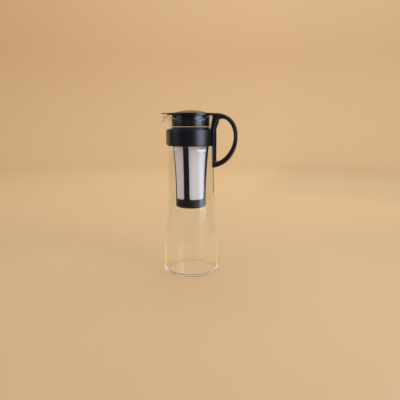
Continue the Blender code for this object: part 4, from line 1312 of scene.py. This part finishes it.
def make_sweep():
    """Warm tan paper, faintly mottled, with a painted contact shadow: a thin darker ring round the
    heel.
    """
    material, tree, shader = new_material("tan_paper")
    darker = tuple(MOTTLE * value for value in SWEEP_COLOUR[:3]) + (1.0,)
    tone = mixed(tree, noise(tree, MOTTLE_SCALE, 3.0), SWEEP_COLOUR, darker)
    radius = vector_step(tree, "LENGTH", object_place(tree), NOWHERE)
    # Painted contact shadow: a thin darker ring on the paper round the heel, where hardly any light
    # gets in.
    ring = times(tree, spread(tree, radius, *PAINTED_SHADOW_RING[:2]),
                 spread(tree, radius, *PAINTED_SHADOW_RING[2:], 1.0, 0.0))
    dress(tree, shader, Base_Color=mixed(tree, ring, tone, PAINTED_SHADOW_TINT),
          Roughness=PAPER_ROUGHNESS)
    stage_bowl("sweep", 0.0, material).visible_glossy = False


def make_cloth():
    """A dim glow seen only in reflections: a painted reflection of the tan sweep near the pot and
    behind it, dark in front and far out at the right behind.
    """
    material, tree, shader = new_material("cloth_and_painted_reflection")
    level = vector_step(tree, "MULTIPLY", object_place(tree), (1.0, 1.0, 0.0))
    direction = vector_step(tree, "NORMALIZE", level, NOWHERE)
    back = -level_direction(CAMERA_AZIMUTH)
    behind = vector_step(tree, "DOT_PRODUCT", direction, tuple(back))
    aside = vector_step(tree, "DOT_PRODUCT", direction, (back.y, -back.x, 0.0))
    radius = vector_step(tree, "LENGTH", level, NOWHERE)
    patch = times(tree, spread(tree, aside, *PATCH_SIDE), spread(tree, radius, *PATCH_START))
    # Painted reflection: a tan glow where the lit sweep would be mirrored, near the pot and behind
    # it.
    tan = times(tree, spread(tree, behind, *CLOTH_EDGE), rest_of(tree, patch))
    tan = larger(tree, tan, spread(tree, radius, *NEAR_FLOOR, 1.0, 0.0))
    dress(tree, shader, Base_Color=BLACK, Emission_Color=mixed(tree, tan, CLOTH_DARK, PAINTED_REFLECTION_TAN),
          Emission_Strength=1.0)
    cloth = stage_bowl("cloth_and_painted_reflection", CLOTH_INSET, material)
    for kind in ("camera", "diffuse", "transmission", "volume_scatter", "shadow"):
        setattr(cloth, "visible_" + kind, False)


make_sweep()
make_cloth()

# %% Lights
ONLY_LIT = ("camera", "glossy", "transmission")
ONLY_MIRRORED = ("camera", "diffuse")
LIT_AND_MIRRORED = ("camera",)
COOL = (0.70, 0.82, 1.0)
POT = Vector((0, 0, 0.15))
WALL_RIGHT = level_direction(math.radians(172.0)) * 2.8 + Vector((0, 0, 0.7))
SOFTBOXES = (
    ("right_softbox", 66.0, 1.2, 0.60, (0.50, 1.1), 8.0, (0.66, 0.80, 1.0), POT, ONLY_LIT),
    ("right_window", 66.0, 1.1, 0.325, (0.80, 0.21), 6.8, (0.64, 0.76, 1.0), POT, ONLY_MIRRORED),
    ("right_glow", 66.0, 1.15, 0.13, (0.50, 0.26), 1.4, COOL, POT, ONLY_MIRRORED),
    ("left_softbox", -60.0, 1.3, 0.50, (0.80, 0.55), 1.8, COOL, POT, LIT_AND_MIRRORED),
    ("left_fill", -45.0, 1.5, 0.55, (0.6, 0.6), 3.0, (0.55, 0.72, 1.0), POT, ONLY_LIT),
    ("wall_wash", 180.0, 0.8, 1.9, (1.4, 0.7), 22.0, (0.84, 0.92, 1.0), WALL_RIGHT, ONLY_LIT))
ROOM_TINT = (1.0, 0.97, 0.93, 1.0)
ROOM_GLOW = 0.98


def add_softbox(name, azimuth, distance, height, size, power, colour, aim, unseen):
    """A rectangular soft light aimed at a place, unseen by some kinds of rays."""
    data = bpy.data.lights.new(name, "AREA")
    data.shape = "RECTANGLE"
    data.size, data.size_y = size
    data.energy = power
    data.color = colour
    light = placed(name, data)
    place = level_direction(math.radians(azimuth)) * distance + Vector((0, 0, height))
    light.location = place
    light.rotation_euler = (aim - place).to_track_quat("-Z", "Y").to_euler()
    for kind in unseen:
        setattr(light, "visible_" + kind, False)


def make_room():
    """Even light from above, a little warm."""
    world = bpy.data.worlds.new("soft_room")
    world.use_nodes = True
    dress(world.node_tree, world.node_tree.nodes["Background"], Color=ROOM_TINT, Strength=ROOM_GLOW)
    bpy.context.scene.world = world


for softbox in SOFTBOXES:
    add_softbox(*softbox)
make_room()
bpy.context.scene.view_settings.view_transform = "Standard"
